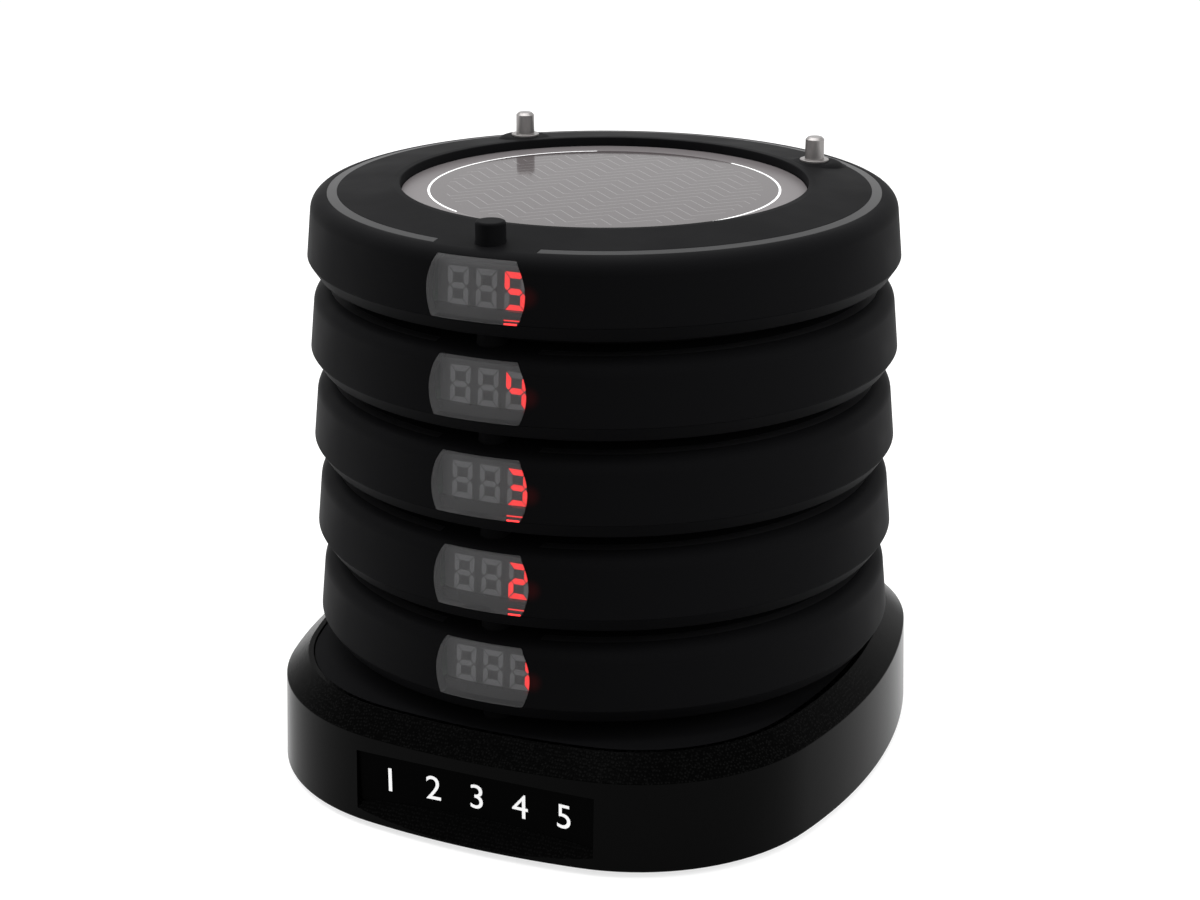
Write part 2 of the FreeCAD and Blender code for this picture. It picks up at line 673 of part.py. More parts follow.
def make_display_module(label, height):
    body = new_body(label, height)
    back = DISPLAY_FACE - s.display_thickness
    low = s.display_middle - s.display_height / 2
    sketch = new_sketch(body, "module_outline", "XZ_Plane", (0, 0, back))
    draw_rectangle(sketch, s.display_width, s.display_height, 0, s.display_middle)
    pad(body, "module", sketch, s.display_thickness)
    # Two legs stand on the raised edge of the lower case's floor
    sketch = new_sketch(body, "legs_sketch", "XZ_Plane", (0, 0, back))
    leg = s.display_thickness / 2
    for side in BOSS_SIDES:
        across = side * (s.display_width / 2 - leg)
        draw_rectangle(sketch, leg, low - FLOOR_RIM, across, (low + FLOOR_RIM) / 2)
    pad(body, "legs", sketch, leg)
    return body


def make_circuit_board(label, height):
    body = new_body(label, height)
    radius = LIP_OUTER - s.lip_width + s.board_seat
    sketch = new_sketch(body, "board_circle", shift=(0, 0, LIP_TOP))
    draw_circle(sketch, radius)
    pad(body, "board", sketch, s.board_thickness)
    sketch = new_sketch(body, "board_cuts_sketch", shift=(0, 0, LIP_TOP))
    draw_post_circles(sketch, s.post_radius + s.fit_gap)
    for x, y in screw_places():
        draw_circle(sketch, s.screw_boss_radius + s.fit_gap, x, y)
    display_back = DISPLAY_FACE - s.display_thickness - s.fit_gap
    room = s.case_radius - display_back
    draw_rectangle(sketch, s.display_width + 4 * s.fit_gap, room, 0, -display_back - room / 2)
    pocket(body, "board_cuts", sketch, s.board_thickness, Reversed=True)

    # Coin vibration motor and the larger chips, soldered on the board
    top = LIP_TOP + s.board_thickness
    sketch = new_sketch(body, "motor_circle", shift=(0, 0, top))
    draw_circle(sketch, s.motor_radius, s.battery_length / 2 + 2 * s.motor_radius, 0)
    pad(body, "motor", sketch, s.motor_height)
    sketch = new_sketch(body, "chips_sketch", shift=(0, 0, top))
    chip = s.motor_radius
    for side in BOSS_SIDES:
        draw_rectangle(sketch, chip, chip, side * 2 * chip, -s.battery_width / 2 - 2 * chip)
    draw_rectangle(sketch, 3 * chip, 2 * chip, 0, s.battery_width / 2 + 2 * chip)
    pad(body, "chips", sketch, s.board_thickness)
    return body


def make_battery(label, height):
    body = new_body(label, height)
    sketch = new_sketch(body, "pack_outline", shift=(0, 0, LIP_TOP + s.board_thickness))
    draw_rectangle(sketch, s.battery_length, s.battery_width)
    block = pad(body, "pack", sketch, s.battery_thickness)
    round_edges(body, block, "pack_edges", s.battery_round,
                lambda edge: abs(edge.BoundBox.ZLength - s.battery_thickness.value) < 0.01)
    return body


def draw_post(sketch, low, socket):
    """Half section of a contact post, standing on its own axis."""
    tip = RIM + s.pin_height
    collar_top = RIM + s.collar_height
    points = [(s.post_radius, low), (s.post_radius, RIM), (s.collar_radius, RIM),
              (s.collar_radius, collar_top), (s.pin_radius, collar_top),
              (s.pin_radius, tip - s.pin_chamfer), (s.pin_radius - s.pin_chamfer, tip), (0, tip)]
    if socket:
        # The pin of the next pager down reaches this far up into the socket
        bore = s.pin_radius + s.socket_gap
        end = s.pin_height - s.seat_gap + s.socket_end_gap
        points += [(0, end), (bore, end), (bore, low)]
    else:
        points += [(0, low)]
    draw_polygon(sketch, points)


def make_posts(label, height, low, socket):
    body = new_body(label, height)
    for side in BOSS_SIDES:
        word = "left" if side < 0 else "right"
        sketch = new_sketch(body, "post_profile_" + word, "XZ_Plane", (side * POST_X, 0, -POST_Y))
        draw_post(sketch, low, socket)
        turn(body, "post_" + word, sketch)
    return body


def make_case_screws(label, height):
    body = new_body(label, height)
    head_low = s.floor_thickness - s.screw_head_height
    sketch = new_sketch(body, "heads_sketch", shift=(0, 0, head_low))
    for x, y in screw_places():
        draw_circle(sketch, s.screw_head_radius, x, y)
    pad(body, "heads", sketch, s.screw_head_height)
    sketch = new_sketch(body, "shanks_sketch", shift=(0, 0, s.floor_thickness))
    for x, y in screw_places():
        draw_circle(sketch, s.screw_radius, x, y)
    pad(body, "shanks", sketch, s.screw_length)
    return body


# Base: every height is above the surface that it stands on

WALL_LOW = s.foot_drop
WALL_TOP = WALL_LOW + s.base_wall_height
BASE_RIM = WALL_TOP + s.base_slope_height
COVER_SEAT = BASE_RIM - s.cover_drop - s.cover_thickness
SEAT = BASE_RIM + s.seat_rise
COVER_INSET = s.base_slope_width + s.base_rim_width
PLATE_CORNER = s.base_half_depth - s.plate_corner_inset


def draw_base_outline(sketch, inset):
    """Rounded square of eight tangent arcs, drawn inside the top of the wall by inset."""
    inset = length(inset)
    half_width = s.base_half_width - inset
    half_depth = s.base_half_depth - inset
    side = s.base_side_radius - inset
    front = s.base_front_radius - inset
    corner = s.base_corner_radius - inset
    side_centre = half_width - side
    front_centre = half_depth - front
    # The corner arc touches both neighbours, so its centre is where two circles cross
    first, second = side.value - corner.value, front.value - corner.value
    start, end = Vector(side_centre.value, 0, 0), Vector(0, front_centre.value, 0)
    span = (end - start).Length
    along = (first ** 2 - second ** 2 + span ** 2) / (2 * span)
    across = math.sqrt(first ** 2 - along ** 2)
    unit = (end - start) / span
    centre = start + unit * along + Vector(unit.y, -unit.x, 0) * across
    if centre.x < 0:
        centre = start + unit * along - Vector(unit.y, -unit.x, 0) * across
    low = math.atan2(centre.y, centre.x - side_centre.value)
    high = math.atan2(centre.y - front_centre.value, centre.x)
    half_turn = math.pi
    arcs = []
    spans = [(low, high), (half_turn - high, half_turn - low), (half_turn + low, half_turn + high),
             (-high, -low)]
    for quarter, (x, y) in enumerate([(1, 1), (-1, 1), (-1, -1), (1, -1)]):
        edge = side if quarter % 2 == 0 else front
        middle = (side_centre.value, 0) if quarter % 2 == 0 else (0, front_centre.value)
        sign = 1 if quarter < 2 else -1
        tilt = low if quarter % 2 == 0 else half_turn / 2 - high
        facing = quarter * half_turn / 2
        arcs.append((Vector(sign * middle[0], sign * middle[1], 0), edge, facing - tilt, facing + tilt))
        arcs.append((Vector(x * centre.x, y * centre.y, 0), corner, *spans[quarter]))
    for middle, radius, begin, finish in arcs:
        circle = Part.Circle(middle, Vector(0, 0, 1), radius.value)
        sketch.addGeometry(Part.ArcOfCircle(circle, begin, finish), False)
    for index in range(8):
        sketch.addConstraint(Sketcher.Constraint("Tangent", index, 2, (index + 1) % 8, 1))
    for index, (middle, radius, begin, finish) in enumerate(arcs):
        tie(sketch, "Radius", index, radius)
    for index, x, y in [(0, side_centre, 0), (2, 0, front_centre), (4, -side_centre, 0),
                        (6, 0, -front_centre)]:
        fix_point(sketch, index, 3, x, y)


def outline_sketch(body, name, height, inset):
    sketch = new_sketch(body, name, shift=(0, 0, height))
    draw_base_outline(sketch, inset)
    return sketch


def draw_label_recess(sketch, front, back, gap=0):
    """Side view of the marking plate or its recess: steep below, and a shallow slope above."""
    corner = PLATE_CORNER
    low = WALL_LOW + s.plate_bottom + gap
    high = WALL_LOW + s.plate_top - gap
    slope = s.plate_top_slope
    draw_polygon(sketch, [(-back, low + corner - back), (-front, low + corner - front),
                          (-front, high - slope * (corner - front)), (-back, high - slope * (corner - back))])


def label_face():
    return PLATE_CORNER - s.plate_corner_depth


def label_back():
    return label_face() - s.plate_hollow - s.plate_thickness


def four_places(x, y):
    return [(side * x, end * y) for side in (-1, 1) for end in (-1, 1)]


def tower_places():
    return four_places(s.base_half_width - s.tower_inset, s.tower_spacing / 2)


def foot_places():
    return four_places(s.base_half_width - s.rubber_foot_inset_x, s.base_half_depth - s.rubber_foot_inset_y)


def draw_backing(sketch, back):
    """Block behind the marking plate whose front follows the middle of the wall."""
    half = s.plate_width / 2 + s.base_wall
    radius = s.base_front_radius - s.base_wall / 2
    centre = s.base_front_radius - s.base_half_depth
    front = math.sqrt(radius.value ** 2 - half.value ** 2) - centre.value
    points = [Vector(half.value, -front, 0), Vector(half.value, -back.value, 0),
              Vector(-half.value, -back.value, 0), Vector(-half.value, -front, 0)]
    for start, end in zip(points, points[1:]):
        sketch.addGeometry(Part.LineSegment(start, end), False)
    draw_arc(sketch, (-half, -front), (0, centre - radius), (half, -front))
    for line in range(3):
        sketch.addConstraint(Sketcher.Constraint("Coincident", line, 2, line + 1, 1))
    sketch.addConstraint(Sketcher.Constraint("Coincident", 3, 2, 0, 1))
    sketch.addConstraint(Sketcher.Constraint("Vertical", 0))
    sketch.addConstraint(Sketcher.Constraint("Vertical", 2))
    fix_point(sketch, 1, 1, half, -back)
    fix_point(sketch, 1, 2, -half, -back)
    fix_point(sketch, 3, 3, 0, centre)
    tie(sketch, "Radius", 3, radius)


def make_base_housing(label):
    body = new_body(label)
    outer = [outline_sketch(body, "outline_low", WALL_LOW, -s.base_draft),
             outline_sketch(body, "outline_wall_top", WALL_TOP, 0),
             outline_sketch(body, "outline_rim", BASE_RIM, s.base_slope_width)]
    add(body, "AdditiveLoft", "shell", outer[0], Sections=outer[1:], Ruled=True)
    wall = s.base_wall
    shoulder = WALL_TOP - wall / 2
    inner = [outline_sketch(body, "cavity_low", WALL_LOW, wall - s.base_draft),
             outline_sketch(body, "cavity_shoulder", shoulder, wall),
             outline_sketch(body, "cavity_top", COVER_SEAT, COVER_INSET + s.cover_ledge)]
    add(body, "SubtractiveLoft", "cavity", inner[0], Sections=inner[1:], Ruled=True)
    opening = outline_sketch(body, "cover_opening_outline", BASE_RIM, COVER_INSET)
    pocket(body, "cover_opening", opening, BASE_RIM - COVER_SEAT)

    # Towers for the bottom screws, and the wall behind the marking plate
    tower_low = WALL_LOW + s.bottom_cover_lift + s.bottom_cover_thickness
    sketch = new_sketch(body, "tower_circles", shift=(0, 0, tower_low))
    for x, y in tower_places():
        draw_circle(sketch, s.tower_radius, x, y)
    pad(body, "towers", sketch, COVER_SEAT - tower_low)
    sketch = new_sketch(body, "backing_outline", shift=(0, 0, tower_low))
    draw_backing(sketch, label_back() - s.plate_backing)
    pad(body, "backing", sketch, shoulder - tower_low)
    sketch = new_sketch(body, "label_recess_profile", "YZ_Plane")
    draw_label_recess(sketch, s.base_half_depth + s.base_wall, label_back())
    pocket(body, "label_recess", sketch, s.plate_width, SideType="Symmetric")

    sketch = new_sketch(body, "tower_holes_sketch", shift=(0, 0, tower_low))
    for x, y in tower_places():
        draw_circle(sketch, s.screw_radius + s.fit_gap / 2, x, y)
    pocket(body, "tower_holes", sketch, s.screw_length + s.fit_gap, Reversed=True)
    sketch = new_sketch(body, "inlet_hole_sketch", "XZ_Plane")
    draw_circle(sketch, s.inlet_nose_radius + s.fit_gap, 0, WALL_LOW + s.inlet_height)
    pocket(body, "inlet_hole", sketch, 2 * s.base_half_depth)
    return body


def make_top_cover(label):
    body = new_body(label)
    outline = outline_sketch(body, "plate_outline", COVER_SEAT, COVER_INSET + s.seam_gap)
    pad(body, "plate", outline, SEAT - COVER_SEAT)
    # The seat for the first pager rises from the plate like the top of a pager
    plate_top = BASE_RIM - s.cover_drop
    sketch = new_sketch(body, "seat_profile", "XZ_Plane")
    outside = 2 * SEAT_REACH
    draw_polygon(sketch, [(LAND, SEAT), (SEAT_REACH, plate_top), (outside, plate_top),
                          (outside, SEAT + s.seat_rise), (LAND, SEAT + s.seat_rise)])
    turn(body, "seat", sketch, "Groove")
    add_bosses(body, COVER_SEAT + s.cover_thickness / 2, SEAT)
    add_peg(body, COVER_SEAT + s.cover_thickness / 2, SEAT)
    sketch = new_sketch(body, "post_holes_sketch", shift=(0, 0, SEAT))
    draw_post_circles(sketch, s.post_radius + s.fit_gap)
    pocket(body, "post_holes", sketch, SEAT - COVER_SEAT)
    return body


def make_bottom_cover(label):
    body = new_body(label)
    low = WALL_LOW + s.bottom_cover_lift
    outline = outline_sketch(body, "plate_outline", low, s.base_wall - s.base_draft + 2 * s.seam_gap)
    pad(body, "plate", outline, s.bottom_cover_thickness)
    sketch = new_sketch(body, "foot_pockets_sketch", shift=(0, 0, low))
    for x, y in foot_places():
        draw_circle(sketch, s.rubber_foot_radius + s.fit_gap, x, y)
    pocket(body, "foot_pockets", sketch, s.rubber_foot_sink, Reversed=True)
    sketch = new_sketch(body, "head_rooms_sketch", shift=(0, 0, low))
    for x, y in tower_places():
        draw_circle(sketch, s.screw_head_radius + s.fit_gap, x, y)
    pocket(body, "head_rooms", sketch, s.screw_head_height, Reversed=True)
    sketch = new_sketch(body, "screw_holes_sketch", shift=(0, 0, low))
    for x, y in tower_places():
        draw_circle(sketch, s.screw_radius + s.fit_gap, x, y)
    pocket(body, "screw_holes", sketch, s.bottom_cover_thickness, Reversed=True)
    # Two rails carry the circuit board
    sketch = new_sketch(body, "rails_sketch", shift=(0, 0, low + s.bottom_cover_thickness))
    rail_place = (s.base_board_width - s.rail_width) / 2
    for side in BOSS_SIDES:
        draw_rectangle(sketch, s.rail_width, s.base_board_depth, side * rail_place, 0)
    pad(body, "rails", sketch, s.rail_height)
    return body


def make_marking_plate(label):
    body = new_body(label)
    face = label_face()
    sketch = new_sketch(body, "side_profile", "YZ_Plane")
    draw_label_recess(sketch, face, label_back() + s.fit_gap, s.seam_gap)
    pad(body, "plate", sketch, s.plate_width - 2 * s.seam_gap, SideType="Symmetric")
    # The face is hollow across its width, deepest in the middle
    sketch = new_sketch(body, "hollow_outline", shift=(0, 0, WALL_LOW))
    half = s.plate_width / 2
    left, right = (-half, -face), (half, -face)
    sketch.addGeometry(Part.LineSegment(vector(left), vector(right)), False)
    draw_arc(sketch, right, (0, -face + s.plate_hollow), left)
    point = sketch.addGeometry(Part.Point(vector((0, -face + s.plate_hollow))), True)
    sketch.addConstraint(Sketcher.Constraint("Coincident", 0, 2, 1, 1))
    sketch.addConstraint(Sketcher.Constraint("Coincident", 0, 1, 1, 2))
    fix_point(sketch, 0, 1, *left)
    fix_point(sketch, 0, 2, *right)
    fix_point(sketch, point, 1, 0, -face + s.plate_hollow)
    sketch.addConstraint(Sketcher.Constraint("PointOnObject", point, 1, 1))
    pocket(body, "hollow", sketch, s.base_wall_height, Reversed=True)
    return body


def make_rubber_feet(label):
    body = new_body(label)
    sketch = new_sketch(body, "feet_circles")
    for x, y in foot_places():
        draw_circle(sketch, s.rubber_foot_radius, x, y)
    pad(body, "feet", sketch, s.foot_drop + s.bottom_cover_lift + s.rubber_foot_sink)
    return body


def make_cover_screws(label):
    body = new_body(label)
    head_low = WALL_LOW + s.bottom_cover_lift
    sketch = new_sketch(body, "heads_sketch", shift=(0, 0, head_low))
    for x, y in tower_places():
        draw_circle(sketch, s.screw_head_radius, x, y)
    pad(body, "heads", sketch, s.screw_head_height)
    sketch = new_sketch(body, "shanks_sketch", shift=(0, 0, head_low + s.screw_head_height))
    for x, y in tower_places():
        draw_circle(sketch, s.screw_radius, x, y)
    pad(body, "shanks", sketch, s.screw_length)
    return body


def base_board_level():
    return WALL_LOW + s.bottom_cover_lift + s.bottom_cover_thickness + s.rail_height


def make_base_board(label):
    body = new_body(label)
    sketch = new_sketch(body, "board_outline", shift=(0, 0, base_board_level()))
    draw_rectangle(sketch, s.base_board_width, s.base_board_depth)
    pad(body, "board", sketch, s.board_thickness)
    sketch = new_sketch(body, "chips_sketch", shift=(0, 0, base_board_level() + s.board_thickness))
    chip = s.motor_radius
    draw_rectangle(sketch, 2 * chip, 2 * chip)
    for side in BOSS_SIDES:
        draw_rectangle(sketch, chip, 2 * chip, side * 3 * chip, chip)
    pad(body, "chips", sketch, s.board_thickness)
    return body


def inlet_level():
    return WALL_LOW + s.inlet_height


def inlet_face():
    return s.base_half_depth + s.base_draft * (s.base_wall_height - s.inlet_height) / s.base_wall_height


def make_power_inlet(label):
    body = new_body(label)
    inner_wall = s.base_half_depth - s.base_wall - s.fit_gap
    sketch = new_sketch(body, "block_outline", "XZ_Plane", (0, 0, -inner_wall))
    draw_rectangle(sketch, s.inlet_body_width, s.inlet_body_width, 0, inlet_level())
    pad(body, "block", sketch, s.inlet_body_length)
    sketch = new_sketch(body, "nose_circle", "XZ_Plane", (0, 0, -inlet_face()))
    draw_circle(sketch, s.inlet_nose_radius, 0, inlet_level())
    pad(body, "nose", sketch, inlet_face() - inner_wall + s.base_wall)
    sketch = new_sketch(body, "bore_circle", "XZ_Plane", (0, 0, -inlet_face()))
    draw_circle(sketch, s.inlet_bore_radius, 0, inlet_level())
    pocket(body, "bore", sketch, s.inlet_bore_depth, Reversed=True)
    return body


def make_inlet_pin(label):
    body = new_body(label)
    front = inlet_face() - s.inlet_pin_radius
    sketch = new_sketch(body, "pin_circle", "XZ_Plane", (0, 0, -front))
    draw_circle(sketch, s.inlet_pin_radius, 0, inlet_level())
    pin = pad(body, "pin", sketch, s.inlet_bore_depth - s.inlet_pin_radius)
    round_edges(body, pin, "pin_tip", s.inlet_pin_radius / 2,
                lambda edge: abs(edge.BoundBox.YMin - front.value) < 0.01, "Chamfer")
    return body


# Assembly

parts = [
    make_base_housing("base_housing"),
    make_top_cover("base_top_cover"),
    make_bottom_cover("base_bottom_cover"),
    make_marking_plate("base_marking_plate"),
    make_rubber_feet("base_rubber_feet"),
    make_cover_screws("base_cover_screws"),
    make_posts("base_contact_posts", SEAT - RIM, RIM - 2 * s.cover_thickness - s.seat_rise, False),
    make_base_board("base_circuit_board"),
    make_power_inlet("base_power_inlet"),
    make_inlet_pin("base_inlet_pin"),
]
for number in range(1, PAGERS + 1):
    name = "pager_%d_" % number
    foot = SEAT + s.seat_gap + (number - 1) * (s.case_height + s.seat_gap)
    parts += [
        make_upper_case(name + "upper_case", foot),
        make_lower_case(name + "lower_case", foot),
        make_light_ring(name + "light_ring", foot),
        make_face_disc(name + "face_disc", foot),
        make_display_window(name + "display_window", foot),
        make_display_module(name + "display_module", foot),
        make_circuit_board(name + "circuit_board", foot),
        make_battery(name + "battery", foot),
        make_posts(name + "contact_posts", foot, s.post_recess, True),
        make_case_screws(name + "case_screws", foot),
    ]
doc.recompute()

for item in doc.Objects:
    if "Invalid" in item.State or "Error" in item.State:
        raise RuntimeError("%s failed: %s" % (item.Name, item.State))
for part in parts:
    if part.Shape.isNull() or not part.Shape.isValid():
        raise RuntimeError(part.Label + " has no valid shape")

os.makedirs("parts", exist_ok=True)
for part in parts:
    part.Shape.exportStep("parts/%s.step" % part.Label)
    print(part.Label, len(part.Shape.Solids), round(part.Shape.Volume, 1))
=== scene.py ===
import math

import bmesh
import bpy
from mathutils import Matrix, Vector


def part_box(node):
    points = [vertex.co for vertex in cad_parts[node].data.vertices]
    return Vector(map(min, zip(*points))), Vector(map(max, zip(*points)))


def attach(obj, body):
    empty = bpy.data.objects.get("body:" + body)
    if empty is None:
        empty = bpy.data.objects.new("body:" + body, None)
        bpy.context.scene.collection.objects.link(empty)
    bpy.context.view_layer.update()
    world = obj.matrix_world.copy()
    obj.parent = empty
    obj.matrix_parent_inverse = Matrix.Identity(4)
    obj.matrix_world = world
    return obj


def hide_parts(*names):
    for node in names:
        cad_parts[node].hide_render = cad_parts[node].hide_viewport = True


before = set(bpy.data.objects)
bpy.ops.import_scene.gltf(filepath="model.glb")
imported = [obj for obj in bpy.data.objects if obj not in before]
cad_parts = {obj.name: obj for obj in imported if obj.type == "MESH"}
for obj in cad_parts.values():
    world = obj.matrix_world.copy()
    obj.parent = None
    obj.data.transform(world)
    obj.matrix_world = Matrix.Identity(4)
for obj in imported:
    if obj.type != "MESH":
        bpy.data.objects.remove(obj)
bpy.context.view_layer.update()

MM = 0.001

# Studio
# A plain pale card floor, a pale room, one large softbox overhead and two tall strips at the sides. Camera,
# glossy and transmission rays see floor and room as white, and the object is lit by less.


def linear(colour):
    """An sRGB hex colour as the linear values that shaders take."""
    channels = [int(colour[start:start + 2], 16) / 255 for start in (1, 3, 5)]
    return [c / 12.92 if c <= 0.04045 else ((c + 0.055) / 1.055) ** 2.4 for c in channels] + [1.0]


def add_node(owner, kind, inputs=None, **settings):
    """Adds a shader node with its settings, its socket values and its links."""
    node = owner.node_tree.nodes.new(kind)
    for name, value in settings.items():
        setattr(node, name, value)
    for name, value in (inputs or {}).items():
        if isinstance(value, bpy.types.NodeSocket):
            owner.node_tree.links.new(value, node.inputs[name])
        else:
            node.inputs[name].default_value = value
    return node


def new_material(name, sockets):
    """A material whose Principled shader has these socket values."""
    material = bpy.data.materials.new(name)
    material.use_nodes = True
    shader = material.node_tree.nodes["Principled BSDF"]
    for socket, value in sockets.items():
        shader.inputs[socket].default_value = value
    return material, shader


def link(owner, output, node, socket):
    """Joins an output to a socket of a node."""
    owner.node_tree.links.new(output, node.inputs[socket])


def shown(owner):
    """Light Path, and a node that gives 1 for rays that see the studio white and 0 for the rest."""
    rays = add_node(owner, "ShaderNodeLightPath")
    seen = add_node(owner, "ShaderNodeMath", {
        0: rays.outputs["Is Camera Ray"], 1: rays.outputs["Is Glossy Ray"]}, operation="MAXIMUM")
    seen = add_node(owner, "ShaderNodeMath", {0: seen.outputs[0], 1: rays.outputs["Is Transmission Ray"]},
                    operation="MAXIMUM")
    return rays, seen


bpy.context.scene.view_settings.view_transform = "Standard"
room = bpy.data.worlds.new("pale_room")
room.use_nodes = True
bpy.context.scene.world = room
rays, seen = shown(room)
ambient = add_node(room, "ShaderNodeBackground", {"Color": linear("#ffffff"), "Strength": 0.55})
backdrop = add_node(room, "ShaderNodeBackground", {"Color": linear("#ffffff"), "Strength": 1.0})
room_light = add_node(room, "ShaderNodeMixShader", {0: seen.outputs[0], 1: ambient.outputs[0],
                                                    2: backdrop.outputs[0]})
link(room, room_light.outputs[0], room.node_tree.nodes["World Output"], "Surface")

card, card_shader = new_material("matte_white_card", {"Roughness": 0.9, "Specular IOR Level": 0.1,
                                                      "Emission Color": linear("#ffffff")})
rays, seen = shown(card)
CARD_GLOW, CARD_SHADE, CARD_BOUNCE = 0.72, 0.37, 0.145
glow = add_node(card, "ShaderNodeMath", {0: seen.outputs[0], 1: CARD_GLOW}, operation="MULTIPLY")
bounce = add_node(card, "ShaderNodeMath", {0: rays.outputs["Is Diffuse Ray"], 1: CARD_BOUNCE},
                  operation="MULTIPLY")
face = add_node(card, "ShaderNodeMath", {0: seen.outputs[0], 1: CARD_SHADE, 2: bounce.outputs[0]},
                operation="MULTIPLY_ADD")
link(card, glow.outputs[0], card_shader, "Emission Strength")
link(card, face.outputs[0], card_shader, "Base Color")
FLOOR_HALF = 6.0
floor_mesh = bpy.data.meshes.new("floor")
corners = [(-FLOOR_HALF, -FLOOR_HALF, 0), (FLOOR_HALF, -FLOOR_HALF, 0), (FLOOR_HALF, FLOOR_HALF, 0),
           (-FLOOR_HALF, FLOOR_HALF, 0)]
floor_mesh.from_pydata(corners, [], [(0, 1, 2, 3)])
floor_mesh.materials.append(card)
floor = bpy.data.objects.new("floor", floor_mesh)
bpy.context.scene.collection.objects.link(floor)

STACK_MIDDLE = Vector((0, 0, 0.06))
for name, place, size, power in [("softbox_overhead", (-0.15, 0.1, 0.9), (0.9, 0.9), 9.0),
                                 ("strip_left", (-0.62, -0.05, 0.3), (0.2, 0.7), 3.0),
                                 ("strip_right", (0.62, 0.1, 0.3), (0.2, 0.7), 3.0)]:
    lamp = bpy.data.lights.new(name, "AREA")
    lamp.shape = "RECTANGLE"
    lamp.size, lamp.size_y = size
    lamp.energy = power
    light = bpy.data.objects.new(name, lamp)
    light.location = place
    light.rotation_euler = (STACK_MIDDLE - light.location).to_track_quat("-Z", "Y").to_euler()
    # Glossy parts mirror the overhead softbox but not the strips
    light.visible_glossy = name == "softbox_overhead"
    bpy.context.scene.collection.objects.link(light)

CAMERA_PLACE = Vector((159.0, -367.7, 196.75)) * MM
CAMERA_PITCH = math.radians(19.447)
CAMERA_HEADING = Vector((-0.3987, 0.9171))
camera_data = bpy.data.cameras.new("camera")
camera_data.sensor_width = 36.0
camera_data.lens = 67.45
camera = bpy.data.objects.new("camera", camera_data)
camera.location = CAMERA_PLACE
look = (CAMERA_HEADING * math.cos(CAMERA_PITCH)).to_3d() - Vector((0, 0, math.sin(CAMERA_PITCH)))
camera.rotation_mode = "QUATERNION"
camera.rotation_quaternion = look.to_track_quat("-Z", "Y")
bpy.context.scene.collection.objects.link(camera)
bpy.context.scene.camera = camera

# Pager case, upper half
# Injection-moulded ABS shell, spark-eroded to an even fine matte, with a bright straight side and a
# falling top. It carries a groove for the light ring, two low bosses and a peg, all moulded in one.

RIM = 16.9
PARTING = 4.3
CASE_RADIUS = 54.0
SHOULDER = (52.9, 15.27)
RECESS_RADIUS = 36.95
RECESS_FLOOR = 14.25
LAND_RADIUS = 38.2
WALL = 2.2
RING_INNER, RING_OUTER = 48.2, 50.1
RING_FLOOR = 14.55
RING_BREAK_HALF = 9.3
POST_CIRCLE = 42.4
POST_X = POST_Y = POST_CIRCLE * math.sqrt(0.5)
PEG_Y = -46.7
PEG_RADIUS, PEG_RISE, PEG_FLARE = 2.55, 2.6, 0.3
BOSS_FLAT, BOSS_REACH, BOSS_FALL = 3.4, 7.2, 1.35
# Distance from the end of a round to the point that keeps the flat beside it flat
HOLD = 0.03


def soften(points, steps=6):
    """Rounds a profile: a point's third number is the radius of its corner. A point close to each end of
    a round keeps the flat beside it flat in smooth shading."""
    result = []
    for index, point in enumerate(points):
        if len(point) == 2:
            result.append(tuple(point))
            continue
        corner = Vector(point[:2])
        back = (Vector(points[index - 1][:2]) - corner).normalized()
        ahead = (Vector(points[(index + 1) % len(points)][:2]) - corner).normalized()
        half = back.angle(ahead) / 2
        radius = point[2]
        centre = corner + (back + ahead).normalized() * radius / math.sin(half)
        start = corner + back * radius / math.tan(half) - centre
        end = corner + ahead * radius / math.tan(half) - centre
        turn = math.pi - 2 * half
        result.append(tuple(centre + start + back * HOLD))
        for step in range(steps + 1):
            share = step / steps
            arm = (start * math.sin((1 - share) * turn) + end * math.sin(share * turn)) / math.sin(turn)
            result.append(tuple(centre + arm))
        result.append(tuple(centre + end + ahead * HOLD))
    return result


def lathe(mesh, profile, centre=(0, 0), segments=240, closed=False):
    """Turns a profile of (radius, height) about an upright axis. It runs from axis to axis or closes."""
    rings = []
    for radius, height in profile:
        if radius < 1e-6:
            rings.append([mesh.verts.new(Vector((centre[0], centre[1], height)) * MM)])
            continue
        turned = [2 * math.pi * step / segments for step in range(segments)]
        rings.append([mesh.verts.new(Vector((centre[0] + radius * math.cos(a),
                                             centre[1] + radius * math.sin(a), height)) * MM)
                      for a in turned])
    pairs = list(zip(rings, rings[1:]))
    if closed:
        pairs.append((rings[-1], rings[0]))
    for low, high in pairs:
        for step in range(segments):
            after = (step + 1) % segments
            face = [low[step % len(low)], low[after % len(low)],
                    high[after % len(high)], high[step % len(high)]]
            if len(low) > 1 or len(high) > 1:
                mesh.faces.new(list(dict.fromkeys(face)))


def prism(mesh, outline, travel):
    """Closes an outline of points and its copy moved by travel into a solid."""
    near = [mesh.verts.new(Vector(point) * MM) for point in outline]
    far = [mesh.verts.new((Vector(point) + Vector(travel)) * MM) for point in outline]
    mesh.faces.new(near)
    mesh.faces.new(list(reversed(far)))
    for index in range(len(near)):
        after = (index + 1) % len(near)
        mesh.faces.new([near[index], far[index], far[after], near[after]])


def solid(*makers):
    """A mesh made by calling each maker on an empty bmesh."""
    mesh = bmesh.new()
    for maker in makers:
        maker(mesh)
    bmesh.ops.recalc_face_normals(mesh, faces=mesh.faces)
    data = bpy.data.meshes.new("solid")
    mesh.to_mesh(data)
    mesh.free()
    return data


